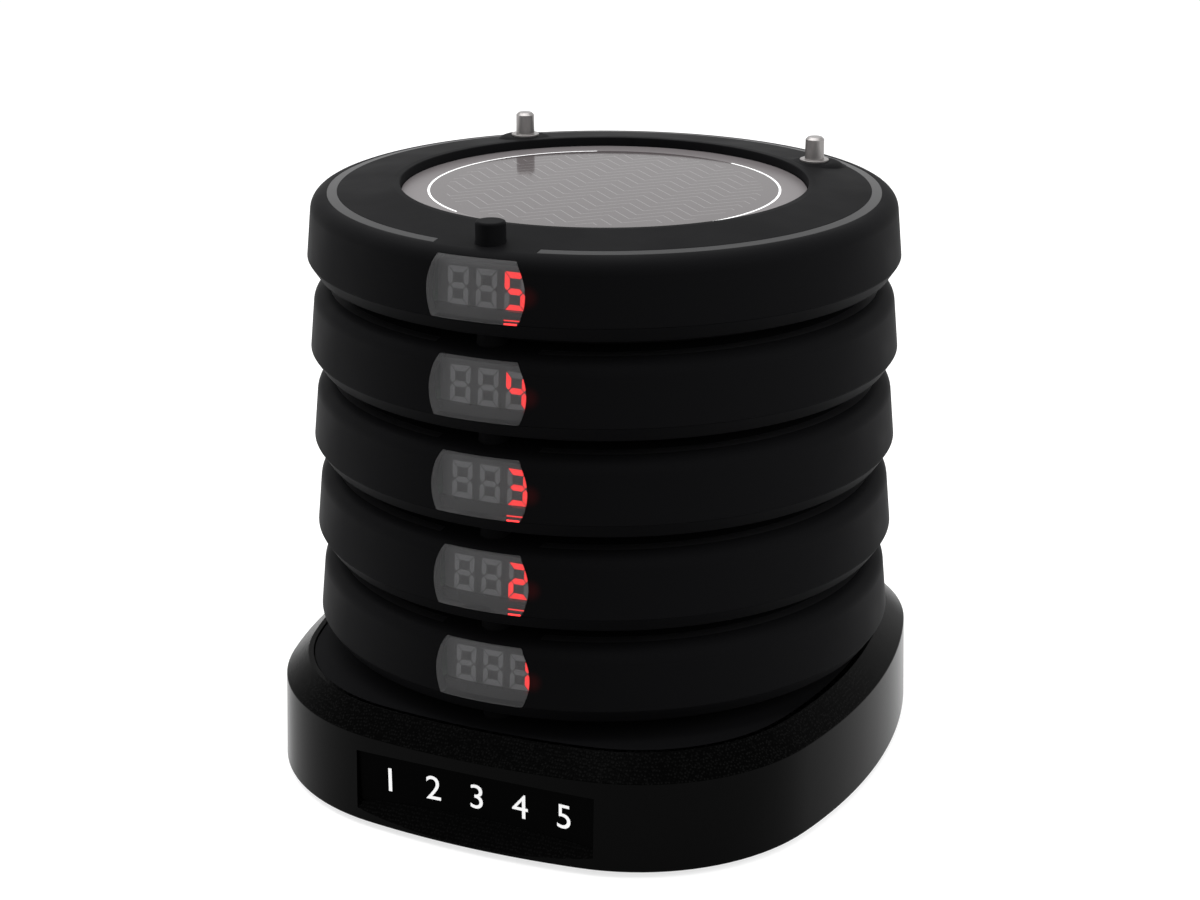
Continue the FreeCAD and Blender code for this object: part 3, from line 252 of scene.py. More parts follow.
def combine(target, tool, operation):
    """Cuts, joins or intersects two meshes and gives the new mesh."""
    first = bpy.data.objects.new("target", target)
    second = bpy.data.objects.new("tool", tool)
    for item in (first, second):
        bpy.context.scene.collection.objects.link(item)
    modifier = first.modifiers.new("combine", "BOOLEAN")
    modifier.object = second
    modifier.operation = operation
    modifier.solver = "EXACT"
    bpy.context.view_layer.update()
    result = bpy.data.meshes.new_from_object(first.evaluated_get(bpy.context.evaluated_depsgraph_get()))
    for item in (first, second):
        data = item.data
        bpy.data.objects.remove(item)
        bpy.data.meshes.remove(data)
    return result


def dress(data, material, sharp_from=30):
    """Gives a mesh its material, and smooth shading apart from its sharp edges."""
    data.materials.clear()
    data.materials.append(material)
    data.shade_smooth()
    data.set_sharp_from_angle(angle=math.radians(sharp_from))
    return data


def piece(name, data, body, nodes=(), height=0.0):
    """Puts a mesh on a body, standing for CAD nodes, at a height in millimetres."""
    item = bpy.data.objects.new(name, data)
    item.location.z = height * MM
    bpy.context.scene.collection.objects.link(item)
    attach(item, body)
    if nodes:
        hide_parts(*nodes)
    return item


def boss_profile(low, high):
    """Half section of a boss whose flat top runs out in an S-curve."""
    half = (BOSS_REACH - BOSS_FLAT) / 2
    radius = (half ** 2 + (BOSS_FALL / 2) ** 2) / BOSS_FALL
    points = [(0, low), (0, high)]
    steps = 10
    for step in range(steps + 1):
        across = half * step / steps
        points.append((BOSS_FLAT + across, high - radius + math.sqrt(radius ** 2 - across ** 2)))
    for step in range(1, steps + 1):
        across = half * (1 - step / steps)
        points.append((BOSS_REACH - across, high - BOSS_FALL + radius - math.sqrt(radius ** 2 - across ** 2)))
    return points + [(BOSS_REACH, low), (0, low)]


def add_bosses(data, low, high):
    """Joins the two bosses of the contact pins to a mesh."""
    for side in (-1, 1):
        profile = boss_profile(low, high)
        boss = solid(lambda mesh: lathe(mesh, profile[1:], (side * POST_X, POST_Y), 96))
        data = combine(data, boss, "UNION")
    return data


def ring_strip(mesh, inner, outer, low, inner_top, outer_top, break_half):
    """A strip round the middle whose two ends stand square to the front."""
    steps = 300
    columns = []
    for step in range(steps + 1):
        share = step / steps
        column = []
        for radius, height in ((inner, low), (outer, low), (outer, outer_top), (inner, inner_top)):
            open_angle = math.asin(break_half / radius)
            angle = -math.pi / 2 + open_angle + share * (2 * math.pi - 2 * open_angle)
            column.append(mesh.verts.new(Vector((radius * math.cos(angle), radius * math.sin(angle),
                                                 height)) * MM))
        columns.append(column)
    for first, second in zip(columns, columns[1:]):
        for corner in range(4):
            after = (corner + 1) % 4
            mesh.faces.new([first[corner], first[after], second[after], second[corner]])
    mesh.faces.new(columns[0])
    mesh.faces.new(list(reversed(columns[-1])))


WINDOW_TOP, WINDOW_BOTTOM = 14.6, 4.3
WINDOW_HALVES = (7.8, 8.9, 7.1)


def window_outline(grow, y):
    """Front view of the window: level top and bottom, ends that bulge as arcs, and rounded corners."""
    top = WINDOW_TOP + grow
    bottom_half, middle_half, top_half = (half + grow for half in WINDOW_HALVES)
    middle = (top + WINDOW_BOTTOM) / 2
    a, b, c = Vector((bottom_half, WINDOW_BOTTOM)), Vector((middle_half, middle)), Vector((top_half, top))
    steps = 12
    points = []
    for step in range(steps + 1):
        share = step / steps
        # Parabola through the three points, which an arc this shallow can't be told from
        spot = (a * (2 * (share - 0.5) * (share - 1)) + b * (4 * share * (1 - share))
                + c * (2 * share * (share - 0.5)))
        points.append((spot.x, spot.y, 0.5) if step in (0, steps) else tuple(spot))
    points = soften(points + [(-x, *rest) for x, *rest in reversed(points)], 4)
    return [(x, y, z) for x, z in points]


abs_black, abs_shader = new_material("spark_eroded_black_abs", {
    "Base Color": linear("#101011"), "IOR": 1.53, "Specular IOR Level": 0.012,
    "Emission Color": linear("#ff4040")})
# Spark-eroded grain is about 0.05 mm; drawn at 0.25 mm so that it shows
GRAIN = 0.25
spots = add_node(abs_black, "ShaderNodeTexCoord")
grain = add_node(abs_black, "ShaderNodeTexNoise", {
    "Vector": spots.outputs["Object"], "Scale": 1 / (GRAIN * MM), "Detail": 2.0})
patches = add_node(abs_black, "ShaderNodeTexNoise", {
    "Vector": spots.outputs["Object"], "Scale": 1 / (14 * MM), "Detail": 3.0})
gloss = add_node(abs_black, "ShaderNodeMapRange", {
    "Value": patches.outputs[0], "From Min": 0.3, "From Max": 0.7, "To Min": 0.47, "To Max": 0.57})
relief = add_node(abs_black, "ShaderNodeBump", {
    "Strength": 0.18, "Distance": 0.03 * MM, "Height": grain.outputs[0]})
# Painted glow: a faint red emission on the case beside the window stands in for the display's red light
# leaking through the thin edge there
PAINTED_GLOW_PLACE = (9.3 * MM, -52.6 * MM, 9 * MM)
apart = add_node(abs_black, "ShaderNodeVectorMath", {0: spots.outputs["Object"], 1: PAINTED_GLOW_PLACE},
                 operation="DISTANCE")
# The painted glow is strongest at its place and fades out within 2.3 mm
painted_glow = add_node(abs_black, "ShaderNodeMapRange", {
    "Value": apart.outputs["Value"], "From Min": 0.3 * MM, "From Max": 2.3 * MM, "To Min": 0.013,
    "To Max": 0.0}, interpolation_type="SMOOTHSTEP")
link(abs_black, painted_glow.outputs[0], abs_shader, "Emission Strength")
link(abs_black, gloss.outputs[0], abs_shader, "Roughness")
link(abs_black, relief.outputs[0], abs_shader, "Normal")

case_profile = soften([
    (0, RECESS_FLOOR), (RECESS_RADIUS, RECESS_FLOOR), (RECESS_RADIUS, RIM, 0.25), (LAND_RADIUS, RIM, 1.0),
    (*SHOULDER, 3.0), (CASE_RADIUS, PARTING, 0.12), (CASE_RADIUS - WALL, PARTING), (50.7, 13.07),
    (RECESS_RADIUS + WALL, RING_FLOOR - 0.1), (RECESS_RADIUS + WALL, 12.85), (0, 12.85)], 8)
upper_case = solid(lambda mesh: lathe(mesh, case_profile, segments=360))
groove = solid(lambda mesh: ring_strip(mesh, RING_INNER, RING_OUTER, RING_FLOOR, RIM + 1, RIM + 1,
                                       RING_BREAK_HALF))
upper_case = combine(upper_case, groove, "DIFFERENCE")
upper_case = add_bosses(upper_case, RING_FLOOR, RIM)
recess_profile = [(0, RECESS_FLOOR + 0.01), (RECESS_RADIUS + 0.01, RECESS_FLOOR + 0.01),
                  (RECESS_RADIUS + 0.01, RIM + 2), (0, RIM + 2)]
recess = solid(lambda mesh: lathe(mesh, recess_profile, segments=360))
upper_case = combine(upper_case, recess, "DIFFERENCE")
opening = solid(lambda mesh: prism(mesh, window_outline(0.04, -48), (0, -10, 0)))
upper_case = combine(upper_case, opening, "DIFFERENCE")
dress(upper_case, abs_black)

peg_profile = soften([(0, RING_FLOOR), (PEG_RADIUS + PEG_FLARE, RING_FLOOR), (PEG_RADIUS, RIM - 0.4),
                      (PEG_RADIUS, RIM + PEG_RISE, 0.45), (0, RIM + PEG_RISE)])
peg = dress(solid(lambda mesh: lathe(mesh, peg_profile, (0, PEG_Y), 72)), abs_black)

PAGERS = range(1, 6)
foot_heights = {}
for number in PAGERS:
    name = "pager_%d" % number
    foot_heights[number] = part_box(name + "_lower_case")[0].z / MM
    piece(name + "_upper_shell", upper_case, name, [name + "_upper_case"], foot_heights[number])
    piece(name + "_peg", peg, name, height=foot_heights[number])

# Pager case, lower half
# Moulded tray of the same ABS with a round foot, a notch in front for the peg of the pager below, and
# counterbored holes for the three screws and the two contact posts. The lip is mould-polished.

SCREW_CIRCLE = 43
SCREW_PLACES = [(SCREW_CIRCLE * math.cos(math.radians(a)), SCREW_CIRCLE * math.sin(math.radians(a)))
                for a in (-30, 90, 210)]
POST_PLACES = [(-POST_X, POST_Y), (POST_X, POST_Y)]
FOOT_RADIUS, FOOT_HEIGHT = 48, 1.62
LIP_INNER, LIP_OUTER, LIP_TOP = 50.4, 51.55, 5.8
tray_profile = soften([(0, 0), (FOOT_RADIUS, 0, 0.4), (FOOT_RADIUS, FOOT_HEIGHT, 0.2),
                       (52.2, FOOT_HEIGHT, 0.5), (CASE_RADIUS - 0.03, PARTING, 0.1), (LIP_OUTER, PARTING),
                       (LIP_OUTER, LIP_TOP), (LIP_INNER, LIP_TOP), (LIP_INNER, 3.3), (46.3, 3.3), (46.3, 1.7),
                       (0, 1.7)])
lower_case = solid(lambda mesh: lathe(mesh, tray_profile, segments=360))
NOTCH_HALF = 3.05
NOTCH_BACK, NOTCH_FRONT = -43.65, -50.5
notch = solid(lambda mesh: prism(mesh, [(-NOTCH_HALF, NOTCH_BACK, -1), (NOTCH_HALF, NOTCH_BACK, -1),
                                        (NOTCH_HALF, NOTCH_FRONT, -1), (-NOTCH_HALF, NOTCH_FRONT, -1)],
                                 (0, 0, 2.62)))
lower_case = combine(lower_case, notch, "DIFFERENCE")
for places, radius, depth in [([(0, PEG_Y)], NOTCH_HALF, 2.92), (SCREW_PLACES, 2.4, 1.5),
                              (POST_PLACES, 3.2, 0.6)]:
    for centre in places:
        section = [(0, -1), (radius, -1), (radius, depth), (0, depth)]
        hole = solid(lambda mesh: lathe(mesh, section, centre, 48))
        lower_case = combine(lower_case, hole, "DIFFERENCE")
dress(lower_case, abs_black)
polished_abs, shader = new_material("mould_polished_black_abs", {
    "Base Color": linear("#0c0c0d"), "IOR": 1.53, "Specular IOR Level": 0.1})
ripple = add_node(polished_abs, "ShaderNodeTexNoise", {"Scale": 1 / (4 * MM)})
polish = add_node(polished_abs, "ShaderNodeMapRange", {
    "Value": ripple.outputs[0], "To Min": 0.05, "To Max": 0.12})
link(polished_abs, polish.outputs[0], shader, "Roughness")
lower_case.materials.append(polished_abs)
for face in lower_case.polygons:
    if face.center.z > PARTING * MM:
        face.material_index = 1
for number in PAGERS:
    name = "pager_%d" % number
    piece(name + "_tray", lower_case, name, [name + "_lower_case"], foot_heights[number])

# Light ring
# Strip of smoke-coloured acrylic that lies flush in its groove and spreads the light of the signal lamps.
# It is broken above the display.

smoke_acrylic, shader = new_material("smoke_acrylic", {
    "Roughness": 0.33, "IOR": 1.49, "Specular IOR Level": 0.12})
haze = add_node(smoke_acrylic, "ShaderNodeTexNoise", {"Scale": 1 / (3 * MM), "Detail": 2.0})
tone = add_node(smoke_acrylic, "ShaderNodeMix", {"Factor": haze.outputs[0], "A": linear("#161617"),
                                                 "B": linear("#222223")}, data_type="RGBA")
link(smoke_acrylic, tone.outputs["Result"], shader, "Base Color")
FALL = (RIM - SHOULDER[1]) / (SHOULDER[0] - LAND_RADIUS)
tops = [RIM - FALL * (radius - LAND_RADIUS) - 0.04 for radius in (RING_INNER, RING_OUTER)]
RING_GAP = 0.05
light_ring = solid(lambda mesh: ring_strip(mesh, RING_INNER + RING_GAP, RING_OUTER - RING_GAP, RING_FLOOR,
                                           *tops, RING_BREAK_HALF + RING_GAP))
dress(light_ring, smoke_acrylic)
for number in PAGERS:
    name = "pager_%d" % number
    piece(name + "_ring_strip", light_ring, name, [name + "_light_ring"], foot_heights[number])

# Face disc
# Clear polycarbonate sheet, printed grey on its back and glossy in front, die cut and laid in the recess.
# The print is a thin white ring with two breaks, and faint chevrons inside it.

printed_disc, shader = new_material("back_printed_polycarbonate", {
    "IOR": 1.58, "Specular IOR Level": 0.1})
spots = add_node(printed_disc, "ShaderNodeTexCoord")
flat = add_node(printed_disc, "ShaderNodeVectorMath", {0: spots.outputs["Object"], 1: (1 / MM, 1 / MM, 0)},
                operation="MULTIPLY")
split = add_node(printed_disc, "ShaderNodeSeparateXYZ", {0: flat.outputs[0]})
radius = add_node(printed_disc, "ShaderNodeVectorMath", {0: flat.outputs[0]}, operation="LENGTH")
PRINT_RING, PRINT_LINE = 31.8, 0.21
ring = add_node(printed_disc, "ShaderNodeMath", {0: radius.outputs["Value"], 1: PRINT_RING, 2: PRINT_LINE},
                operation="COMPARE")
BREAK_HALF, BREAK_TAPER = 15.0, -0.038
break_half = add_node(printed_disc, "ShaderNodeMath", {0: split.outputs["Y"], 1: BREAK_TAPER, 2: BREAK_HALF},
                      operation="MULTIPLY_ADD")
breaks = add_node(printed_disc, "ShaderNodeMath", {0: split.outputs["X"], 1: 0.0, 2: break_half.outputs[0]},
                  operation="COMPARE")
unbroken = add_node(printed_disc, "ShaderNodeMath", {0: 1.0, 1: breaks.outputs[0]}, operation="SUBTRACT")
ring = add_node(printed_disc, "ShaderNodeMath", {0: ring.outputs[0], 1: unbroken.outputs[0]},
                operation="MULTIPLY")
inside = add_node(printed_disc, "ShaderNodeMath", {0: radius.outputs["Value"], 1: PRINT_RING},
                  operation="LESS_THAN")
PATTERN_MARGIN = 3.1
patterned = add_node(printed_disc, "ShaderNodeMath", {
    0: radius.outputs["Value"], 1: PRINT_RING - PATTERN_MARGIN}, operation="LESS_THAN")
CHEVRON_PITCH, CHEVRON_LINE, CHEVRON_WIDTH = 1.6, 0.14, 4.5
zigzag = add_node(printed_disc, "ShaderNodeMath", {0: split.outputs["X"], 1: CHEVRON_WIDTH},
                  operation="PINGPONG")
rise = add_node(printed_disc, "ShaderNodeMath", {0: zigzag.outputs[0], 1: split.outputs["Y"]},
                operation="ADD")
rows = add_node(printed_disc, "ShaderNodeMath", {0: rise.outputs[0], 1: CHEVRON_PITCH}, operation="PINGPONG")
lines = add_node(printed_disc, "ShaderNodeMath", {0: rows.outputs[0], 1: CHEVRON_LINE}, operation="LESS_THAN")
lines = add_node(printed_disc, "ShaderNodeMath", {0: lines.outputs[0], 1: patterned.outputs[0]},
                 operation="MULTIPLY")
ground = add_node(printed_disc, "ShaderNodeMix", {"Factor": inside.outputs[0], "A": linear("#605c5d"),
                                                  "B": linear("#464142")}, data_type="RGBA")
drawn = add_node(printed_disc, "ShaderNodeMix", {"Factor": lines.outputs[0], "A": ground.outputs["Result"],
                                                 "B": linear("#686566")}, data_type="RGBA")
printed = add_node(printed_disc, "ShaderNodeMix", {"Factor": ring.outputs[0], "A": drawn.outputs["Result"],
                                                   "B": linear("#ffffff")}, data_type="RGBA")
# Outside the ring the sheet is frosted, and inside it glossy
polish = add_node(printed_disc, "ShaderNodeMapRange", {
    "Value": inside.outputs[0], "To Min": 0.3, "To Max": 0.09})
link(printed_disc, polish.outputs[0], shader, "Roughness")
link(printed_disc, printed.outputs["Result"], shader, "Base Color")
DISC_RADIUS, DISC_TOP = 36.8, 15.25
disc_profile = soften([(0, RECESS_FLOOR), (DISC_RADIUS, RECESS_FLOOR), (DISC_RADIUS, DISC_TOP, 0.15),
                       (0, DISC_TOP)], 4)
face_disc = dress(solid(lambda mesh: lathe(mesh, disc_profile, segments=240)), printed_disc)
for number in PAGERS:
    name = "pager_%d" % number
    piece(name + "_printed_disc", face_disc, name, [name + "_face_disc"], foot_heights[number])

# Display
# Three seven-segment digits behind a tinted window. The first two stay dark, and the last one shows the
# pager's own number in red.

display_face, shader = new_material("dark_display_face", {"Base Color": linear("#5a5a5b"), "Roughness": 0.45})
speckle = add_node(display_face, "ShaderNodeTexNoise", {"Scale": 1 / (0.4 * MM)})
relief = add_node(display_face, "ShaderNodeBump", {"Strength": 0.1, "Distance": 0.02 * MM,
                                                   "Height": speckle.outputs[0]})
link(display_face, relief.outputs[0], shader, "Normal")
# The unlit segments carry a painted glow: a little grey emission that lifts them above what the lamps give
# them
unlit_segment_painted_glow = new_material("unlit_milky_epoxy", {
    "Base Color": linear("#6a6a6c"), "Roughness": 0.4, "Emission Color": linear("#8a8a8c"),
    "Emission Strength": 0.4})[0]
lit_segment = new_material("lit_red_epoxy", {
    "Base Color": linear("#701010"), "Roughness": 0.4, "Emission Color": linear("#ff3030"),
    "Emission Strength": 2.2})[0]

DIGIT_CENTRES = (-4.74, 0.43, 5.6)
DIGIT_MIDDLE = 8.75
DISPLAY_Y = -49.4
STROKE, SIDE_STROKE = 1.0, 0.84
ARM_X, ARM_Z = 1.44, 2.775
CLEARANCE = 0.14
SLANT = 0.045
NUMERALS = {1: "bc", 2: "abged", 3: "abgcd", 4: "fgbc", 5: "afgcd"}
ALL_SEGMENTS = "abcdefg"


def segment_points(letter):
    """Outline of one segment about the digit's middle, with mitred outer bars and a pointed middle bar."""
    half, side_half = STROKE / 2, SIDE_STROKE / 2
    if letter == "g":
        reach = ARM_X - CLEARANCE
        return [(-reach, 0), (-reach + half, half), (reach - half, half), (reach, 0), (reach - half, -half),
                (-reach + half, -half)]
    if letter in "ad":
        up = 1 if letter == "a" else -1
        outer, inner = ARM_X + side_half - CLEARANCE, ARM_X - side_half - CLEARANCE
        return [(-outer, up * (ARM_Z + half)), (outer, up * (ARM_Z + half)), (inner, up * (ARM_Z - half)),
                (-inner, up * (ARM_Z - half))]
    side = 1 if letter in "bc" else -1
    up = 1 if letter in "bf" else -1
    outer, inner = ARM_Z + half - CLEARANCE, ARM_Z - half - CLEARANCE
    points = [(ARM_X + side_half, outer), (ARM_X + side_half, half + CLEARANCE), (ARM_X, CLEARANCE),
              (ARM_X - side_half, half + CLEARANCE), (ARM_X - side_half, inner)]
    return [(side * x, up * z) for x, z in points]


def segment_mesh(chosen, material):
    """Thin slabs for the chosen letters of each digit."""
    def make(mesh):
        for centre, letters in chosen:
            for letter in letters:
                outline = [(centre + x + SLANT * z, DISPLAY_Y, DIGIT_MIDDLE + z)
                           for x, z in segment_points(letter)]
                prism(mesh, outline, (0, -0.15, 0))
    return dress(solid(make), material)


def painted_reflection_lines(mesh):
    """Painted reflections of the lit bottom bar: two thin glowing red strips in the lower edge of the window,
    one at each face.
    """
    for radius, low, high, first, last in ((51.88, 4.31, 4.5, 4.55, 7.5),
                                           (54.01, 4.31, 4.58, 5.55, 7.7)):
        steps = 6
        outline = []
        for inward, order in ((0, range(steps + 1)), (0.12, range(steps, -1, -1))):
            for step in order:
                x = first + (last - first) * step / steps
                outline.append((x, -math.sqrt((radius - inward) ** 2 - x ** 2), low))
        prism(mesh, outline, (0, 0, high - low))


# These strips are painted reflections: they glow with the lit segments' emission and are no parts of the
# pager
painted_reflections = dress(solid(painted_reflection_lines), lit_segment)
for number in PAGERS:
    name = "pager_%d" % number
    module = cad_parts[name + "_display_module"].data
    module.materials.clear()
    module.materials.append(display_face)
    lit = NUMERALS[number]
    unlit = "".join(letter for letter in ALL_SEGMENTS if letter not in lit)
    dark = segment_mesh([(DIGIT_CENTRES[0], ALL_SEGMENTS), (DIGIT_CENTRES[1], ALL_SEGMENTS),
                         (DIGIT_CENTRES[2], unlit)], unlit_segment_painted_glow)
    bright = segment_mesh([(DIGIT_CENTRES[2], lit)], lit_segment)
    piece(name + "_dark_segments", dark, name, height=foot_heights[number])
    piece(name + "_lit_segments", bright, name, height=foot_heights[number])
    # The painted reflections go only under numerals whose bottom bar is lit
    if "d" in lit:
        piece(name + "_painted_reflection_lines", painted_reflections, name, height=foot_heights[number])

# Display window
# Smoke-tinted polycarbonate, moulded to the curve of the side wall and polished on both faces. Each face
# mirrors a little of the room and lets through two thirds of what lies behind it.

# Its pale grey colour is partly the smoke tint and partly painted reflection, a haze that stands in for the
# bright room mirrored in the window
tinted_window = new_material("smoke_polycarbonate_window", {
    "Base Color": linear("#7a7a7b"), "Roughness": 0.03, "IOR": 1.58, "Specular IOR Level": 0.1,
    "Alpha": 0.35})[0]
# Only the round between the wall and the falling top is used
shoulder_round = [point for point in soften([(CASE_RADIUS, PARTING), (*SHOULDER, 3.0), (50.0, 15.6)], 8)[1:]
                  if point[0] > 50.5]
window_profile = [(51.9, PARTING), (CASE_RADIUS, PARTING), *shoulder_round, (50.6, 15.4)]
window_skin = solid(lambda mesh: lathe(mesh, window_profile, segments=720, closed=True))
blank = solid(lambda mesh: prism(mesh, window_outline(0, -44), (0, -12, 0)))
display_window = dress(combine(window_skin, blank, "INTERSECT"), tinted_window)
for number in PAGERS:
    name = "pager_%d" % number
    piece(name + "_window", display_window, name, [name + "_display_window"],
          foot_heights[number])

# Contact posts
# Turned brass pins with a bright nickel plate. Each has a chamfered tip, a collar on its boss and a socket
# below, which takes the pin of the next pager down.

nickel, shader = new_material("nickel_plated_brass", {"Base Color": linear("#8f8c8b"), "Metallic": 1.0})
# The plate is a little uneven, in patches about 0.8 mm across
spots = add_node(nickel, "ShaderNodeTexCoord")
uneven = add_node(nickel, "ShaderNodeTexNoise", {"Vector": spots.outputs["Object"], "Scale": 1 / (0.8 * MM)})
polish = add_node(nickel, "ShaderNodeMapRange", {"Value": uneven.outputs[0], "To Min": 0.32, "To Max": 0.42})
link(nickel, polish.outputs[0], shader, "Roughness")


def post_mesh(low, with_socket):
    """Both posts of a pager or of the base, from low up to the tips."""
    tip = RIM + 4.5
    points = [(2.45, low), (2.45, RIM), (2.7, RIM), (2.7, RIM + 0.35, 0.1), (1.8, RIM + 0.35, 0.05),
              (1.75, tip - 0.45, 0.08), (1.3, tip, 0.1), (0, tip)]
    points += [(0, 5.0), (1.85, 5.0), (1.85, low)] if with_socket else [(0, low)]
    profile = soften(points, 4)

    def make(mesh):
        for centre in POST_PLACES:
            lathe(mesh, profile, centre, 64, closed=with_socket)
    return dress(solid(make), nickel, 25)


pager_posts = post_mesh(0.6, True)
for number in PAGERS:
    name = "pager_%d" % number
    piece(name + "_pins", pager_posts, name, [name + "_contact_posts"], foot_heights[number])

# Base housing
# Heavier ABS moulding with a glossier wall, a sloping band with a fine knurled grain and a flat rim. The
# outline is a square of four long arcs whose corners are rounder arcs.

FOOT_DROP = 1.0
HALF_WIDTH, HALF_DEPTH = 55.5, 58.9
SIDE_RADIUS, FRONT_RADIUS, CORNER_RADIUS = 115.0, 155.0, 37.0
WALL_TOP = FOOT_DROP + 16.5
BASE_RIM = WALL_TOP + 3.95
SLOPE, RIM_WIDTH, DRAFT = 4.2, 1.0, 0.65
COVER_SEAT = 19.55
COVER_TOP = 21.2
SEAT = 22.5

side_centre = Vector((HALF_WIDTH - SIDE_RADIUS, 0))
front_centre = Vector((0, HALF_DEPTH - FRONT_RADIUS))
to_front = front_centre - side_centre
first_arm, second_arm = SIDE_RADIUS - CORNER_RADIUS, FRONT_RADIUS - CORNER_RADIUS
along = (first_arm ** 2 - second_arm ** 2 + to_front.length_squared) / (2 * to_front.length)
across = math.sqrt(first_arm ** 2 - along ** 2)
unit = to_front.normalized()
corner_centre = max((side_centre + unit * along + Vector((-unit.y, unit.x)) * across * sign
                     for sign in (-1, 1)), key=lambda spot: spot.x)
LOW_TURN = math.atan2(*reversed(corner_centre - side_centre))
HIGH_TURN = math.atan2(*reversed(corner_centre - front_centre))


def facing_angles(steps=20):
    """Directions that the outline faces in one quarter, closer together where it bends less."""
    stops = [0, LOW_TURN, HIGH_TURN, math.pi / 2]
    return [low + (high - low) * step / steps for low, high in zip(stops, stops[1:]) for step in range(steps)]


def base_outline(inset):
    """Points of the base's outline, moved inwards by inset."""
    quarter = []
    for angle in facing_angles():
        centre, radius = corner_centre, CORNER_RADIUS
        if angle < LOW_TURN:
            centre, radius = side_centre, SIDE_RADIUS
        elif angle >= HIGH_TURN:
            centre, radius = front_centre, FRONT_RADIUS
        spot = centre + Vector((math.cos(angle), math.sin(angle))) * (radius - inset)
        quarter.append(spot)
    top = Vector((0, HALF_DEPTH - inset))
    half = quarter + [top] + [Vector((-spot.x, spot.y)) for spot in reversed(quarter)]
    return half + [Vector((spot.x, -spot.y)) for spot in reversed(half[1:-1])]


def shell(mesh, section):
    """Closes a section of (inset, height) points into a body that follows the base's outline."""
    rings = [[mesh.verts.new(Vector((spot.x, spot.y, height)) * MM) for spot in base_outline(inset)]
             for inset, height in section]
    for low, high in zip(rings, rings[1:] + rings[:1]):
        for index in range(len(low)):
            after = (index + 1) % len(low)
            mesh.faces.new([low[index], low[after], high[after], high[index]])


housing_section = soften([
    (-DRAFT, FOOT_DROP, 0.3), (0, WALL_TOP, 0.35), (SLOPE, BASE_RIM, 0.2),
    (SLOPE + RIM_WIDTH, BASE_RIM, 0.12), (SLOPE + RIM_WIDTH, COVER_SEAT), (7.1, COVER_SEAT), (2.5, 16.25),
    (1.85, FOOT_DROP)], 5)
housing = solid(lambda mesh: shell(mesh, housing_section))

PLATE_HALF = 22.9
PLATE_CORNER, PLATE_FACE, PLATE_BACK = 57.5, 56.6, 54.3
PLATE_LOW, PLATE_HIGH = FOOT_DROP + 2.45, FOOT_DROP + 13.5
UPPER_SLOPE = 0.47
HOLLOW = 0.8


def backing(mesh):
    """Block behind the marking plate, with a front that follows the middle of the wall."""
    half = PLATE_HALF + 2.5
    front = [(x, -(math.sqrt((FRONT_RADIUS - 1.25) ** 2 - x ** 2) + front_centre.y), 3.8)
             for x in [half * step / 8 for step in range(-8, 9)]]
    prism(mesh, front + [(half, -52.7, 3.8), (-half, -52.7, 3.8)], (0, 0, 12.45))


def label_recess(mesh):
    """The recess: its lower side slopes out at 45 degrees and its upper side less."""
    reach = 8
    depth = PLATE_CORNER - PLATE_BACK
    outline = [(-PLATE_BACK, PLATE_LOW + depth), (-PLATE_CORNER - reach, PLATE_LOW - reach),
               (-PLATE_CORNER - reach, PLATE_HIGH + UPPER_SLOPE * reach),
               (-PLATE_BACK, PLATE_HIGH - UPPER_SLOPE * depth)]
    prism(mesh, [(-PLATE_HALF, y, z) for y, z in outline], (2 * PLATE_HALF, 0, 0))


housing = combine(housing, solid(backing), "UNION")
housing = combine(housing, solid(label_recess), "DIFFERENCE")
INLET_HEIGHT, INLET_RADIUS = FOOT_DROP + 8, 4.3
inlet_hole = [(INLET_RADIUS * math.cos(math.pi * step / 24), 50,
               INLET_HEIGHT + INLET_RADIUS * math.sin(math.pi * step / 24)) for step in range(48)]
housing = combine(housing, solid(lambda mesh: prism(mesh, inlet_hole, (0, 15, 0))), "DIFFERENCE")

wall_abs, shader = new_material("satin_black_abs", {"Base Color": linear("#030303"), "Roughness": 0.2,
                                                    "IOR": 1.53, "Specular IOR Level": 0.03})
# The wall has faint upright draw marks from its mould, about 0.35 mm apart
spots = add_node(wall_abs, "ShaderNodeTexCoord")
drawn_out = add_node(wall_abs, "ShaderNodeVectorMath", {0: spots.outputs["Object"], 1: (1, 1, 0.02)},
                     operation="MULTIPLY")
marks = add_node(wall_abs, "ShaderNodeTexNoise", {"Vector": drawn_out.outputs[0], "Scale": 1 / (0.35 * MM),
                                                  "Detail": 2.0})
relief = add_node(wall_abs, "ShaderNodeBump", {
    "Strength": 0.12, "Distance": 0.03 * MM, "Height": marks.outputs[0]})
link(wall_abs, relief.outputs[0], shader, "Normal")

knurled_abs, shader = new_material("knurl_grained_black_abs", {
    "Roughness": 0.25, "IOR": 1.53, "Specular IOR Level": 0.015})
# Moulded grain of small pebbles in uneven rows, about 0.5 mm apart, with a painted highlight: their tops are
# coloured a little lighter
PEBBLE = 0.5
spots = add_node(knurled_abs, "ShaderNodeTexCoord")
pebbles = add_node(knurled_abs, "ShaderNodeTexVoronoi", {
    "Vector": spots.outputs["Object"], "Scale": 1 / (PEBBLE * MM), "Randomness": 0.6})
relief = add_node(knurled_abs, "ShaderNodeBump", {"Strength": 0.4, "Distance": 0.06 * MM,
                                                  "Height": pebbles.outputs["Distance"]}, invert=True)
link(knurled_abs, relief.outputs[0], shader, "Normal")
# Painted highlight: the pebbles' tops get a lighter base colour than their hollows
tops = add_node(knurled_abs, "ShaderNodeMapRange", {"Value": pebbles.outputs["Distance"], "From Min": 0.1,
                                                    "From Max": 0.5, "To Min": 1.0, "To Max": 0.0})
tone = add_node(knurled_abs, "ShaderNodeMix", {"Factor": tops.outputs[0], "A": linear("#000000"),
                                               "B": linear("#0d0d0d")}, data_type="RGBA")
link(knurled_abs, tone.outputs["Result"], shader, "Base Color")

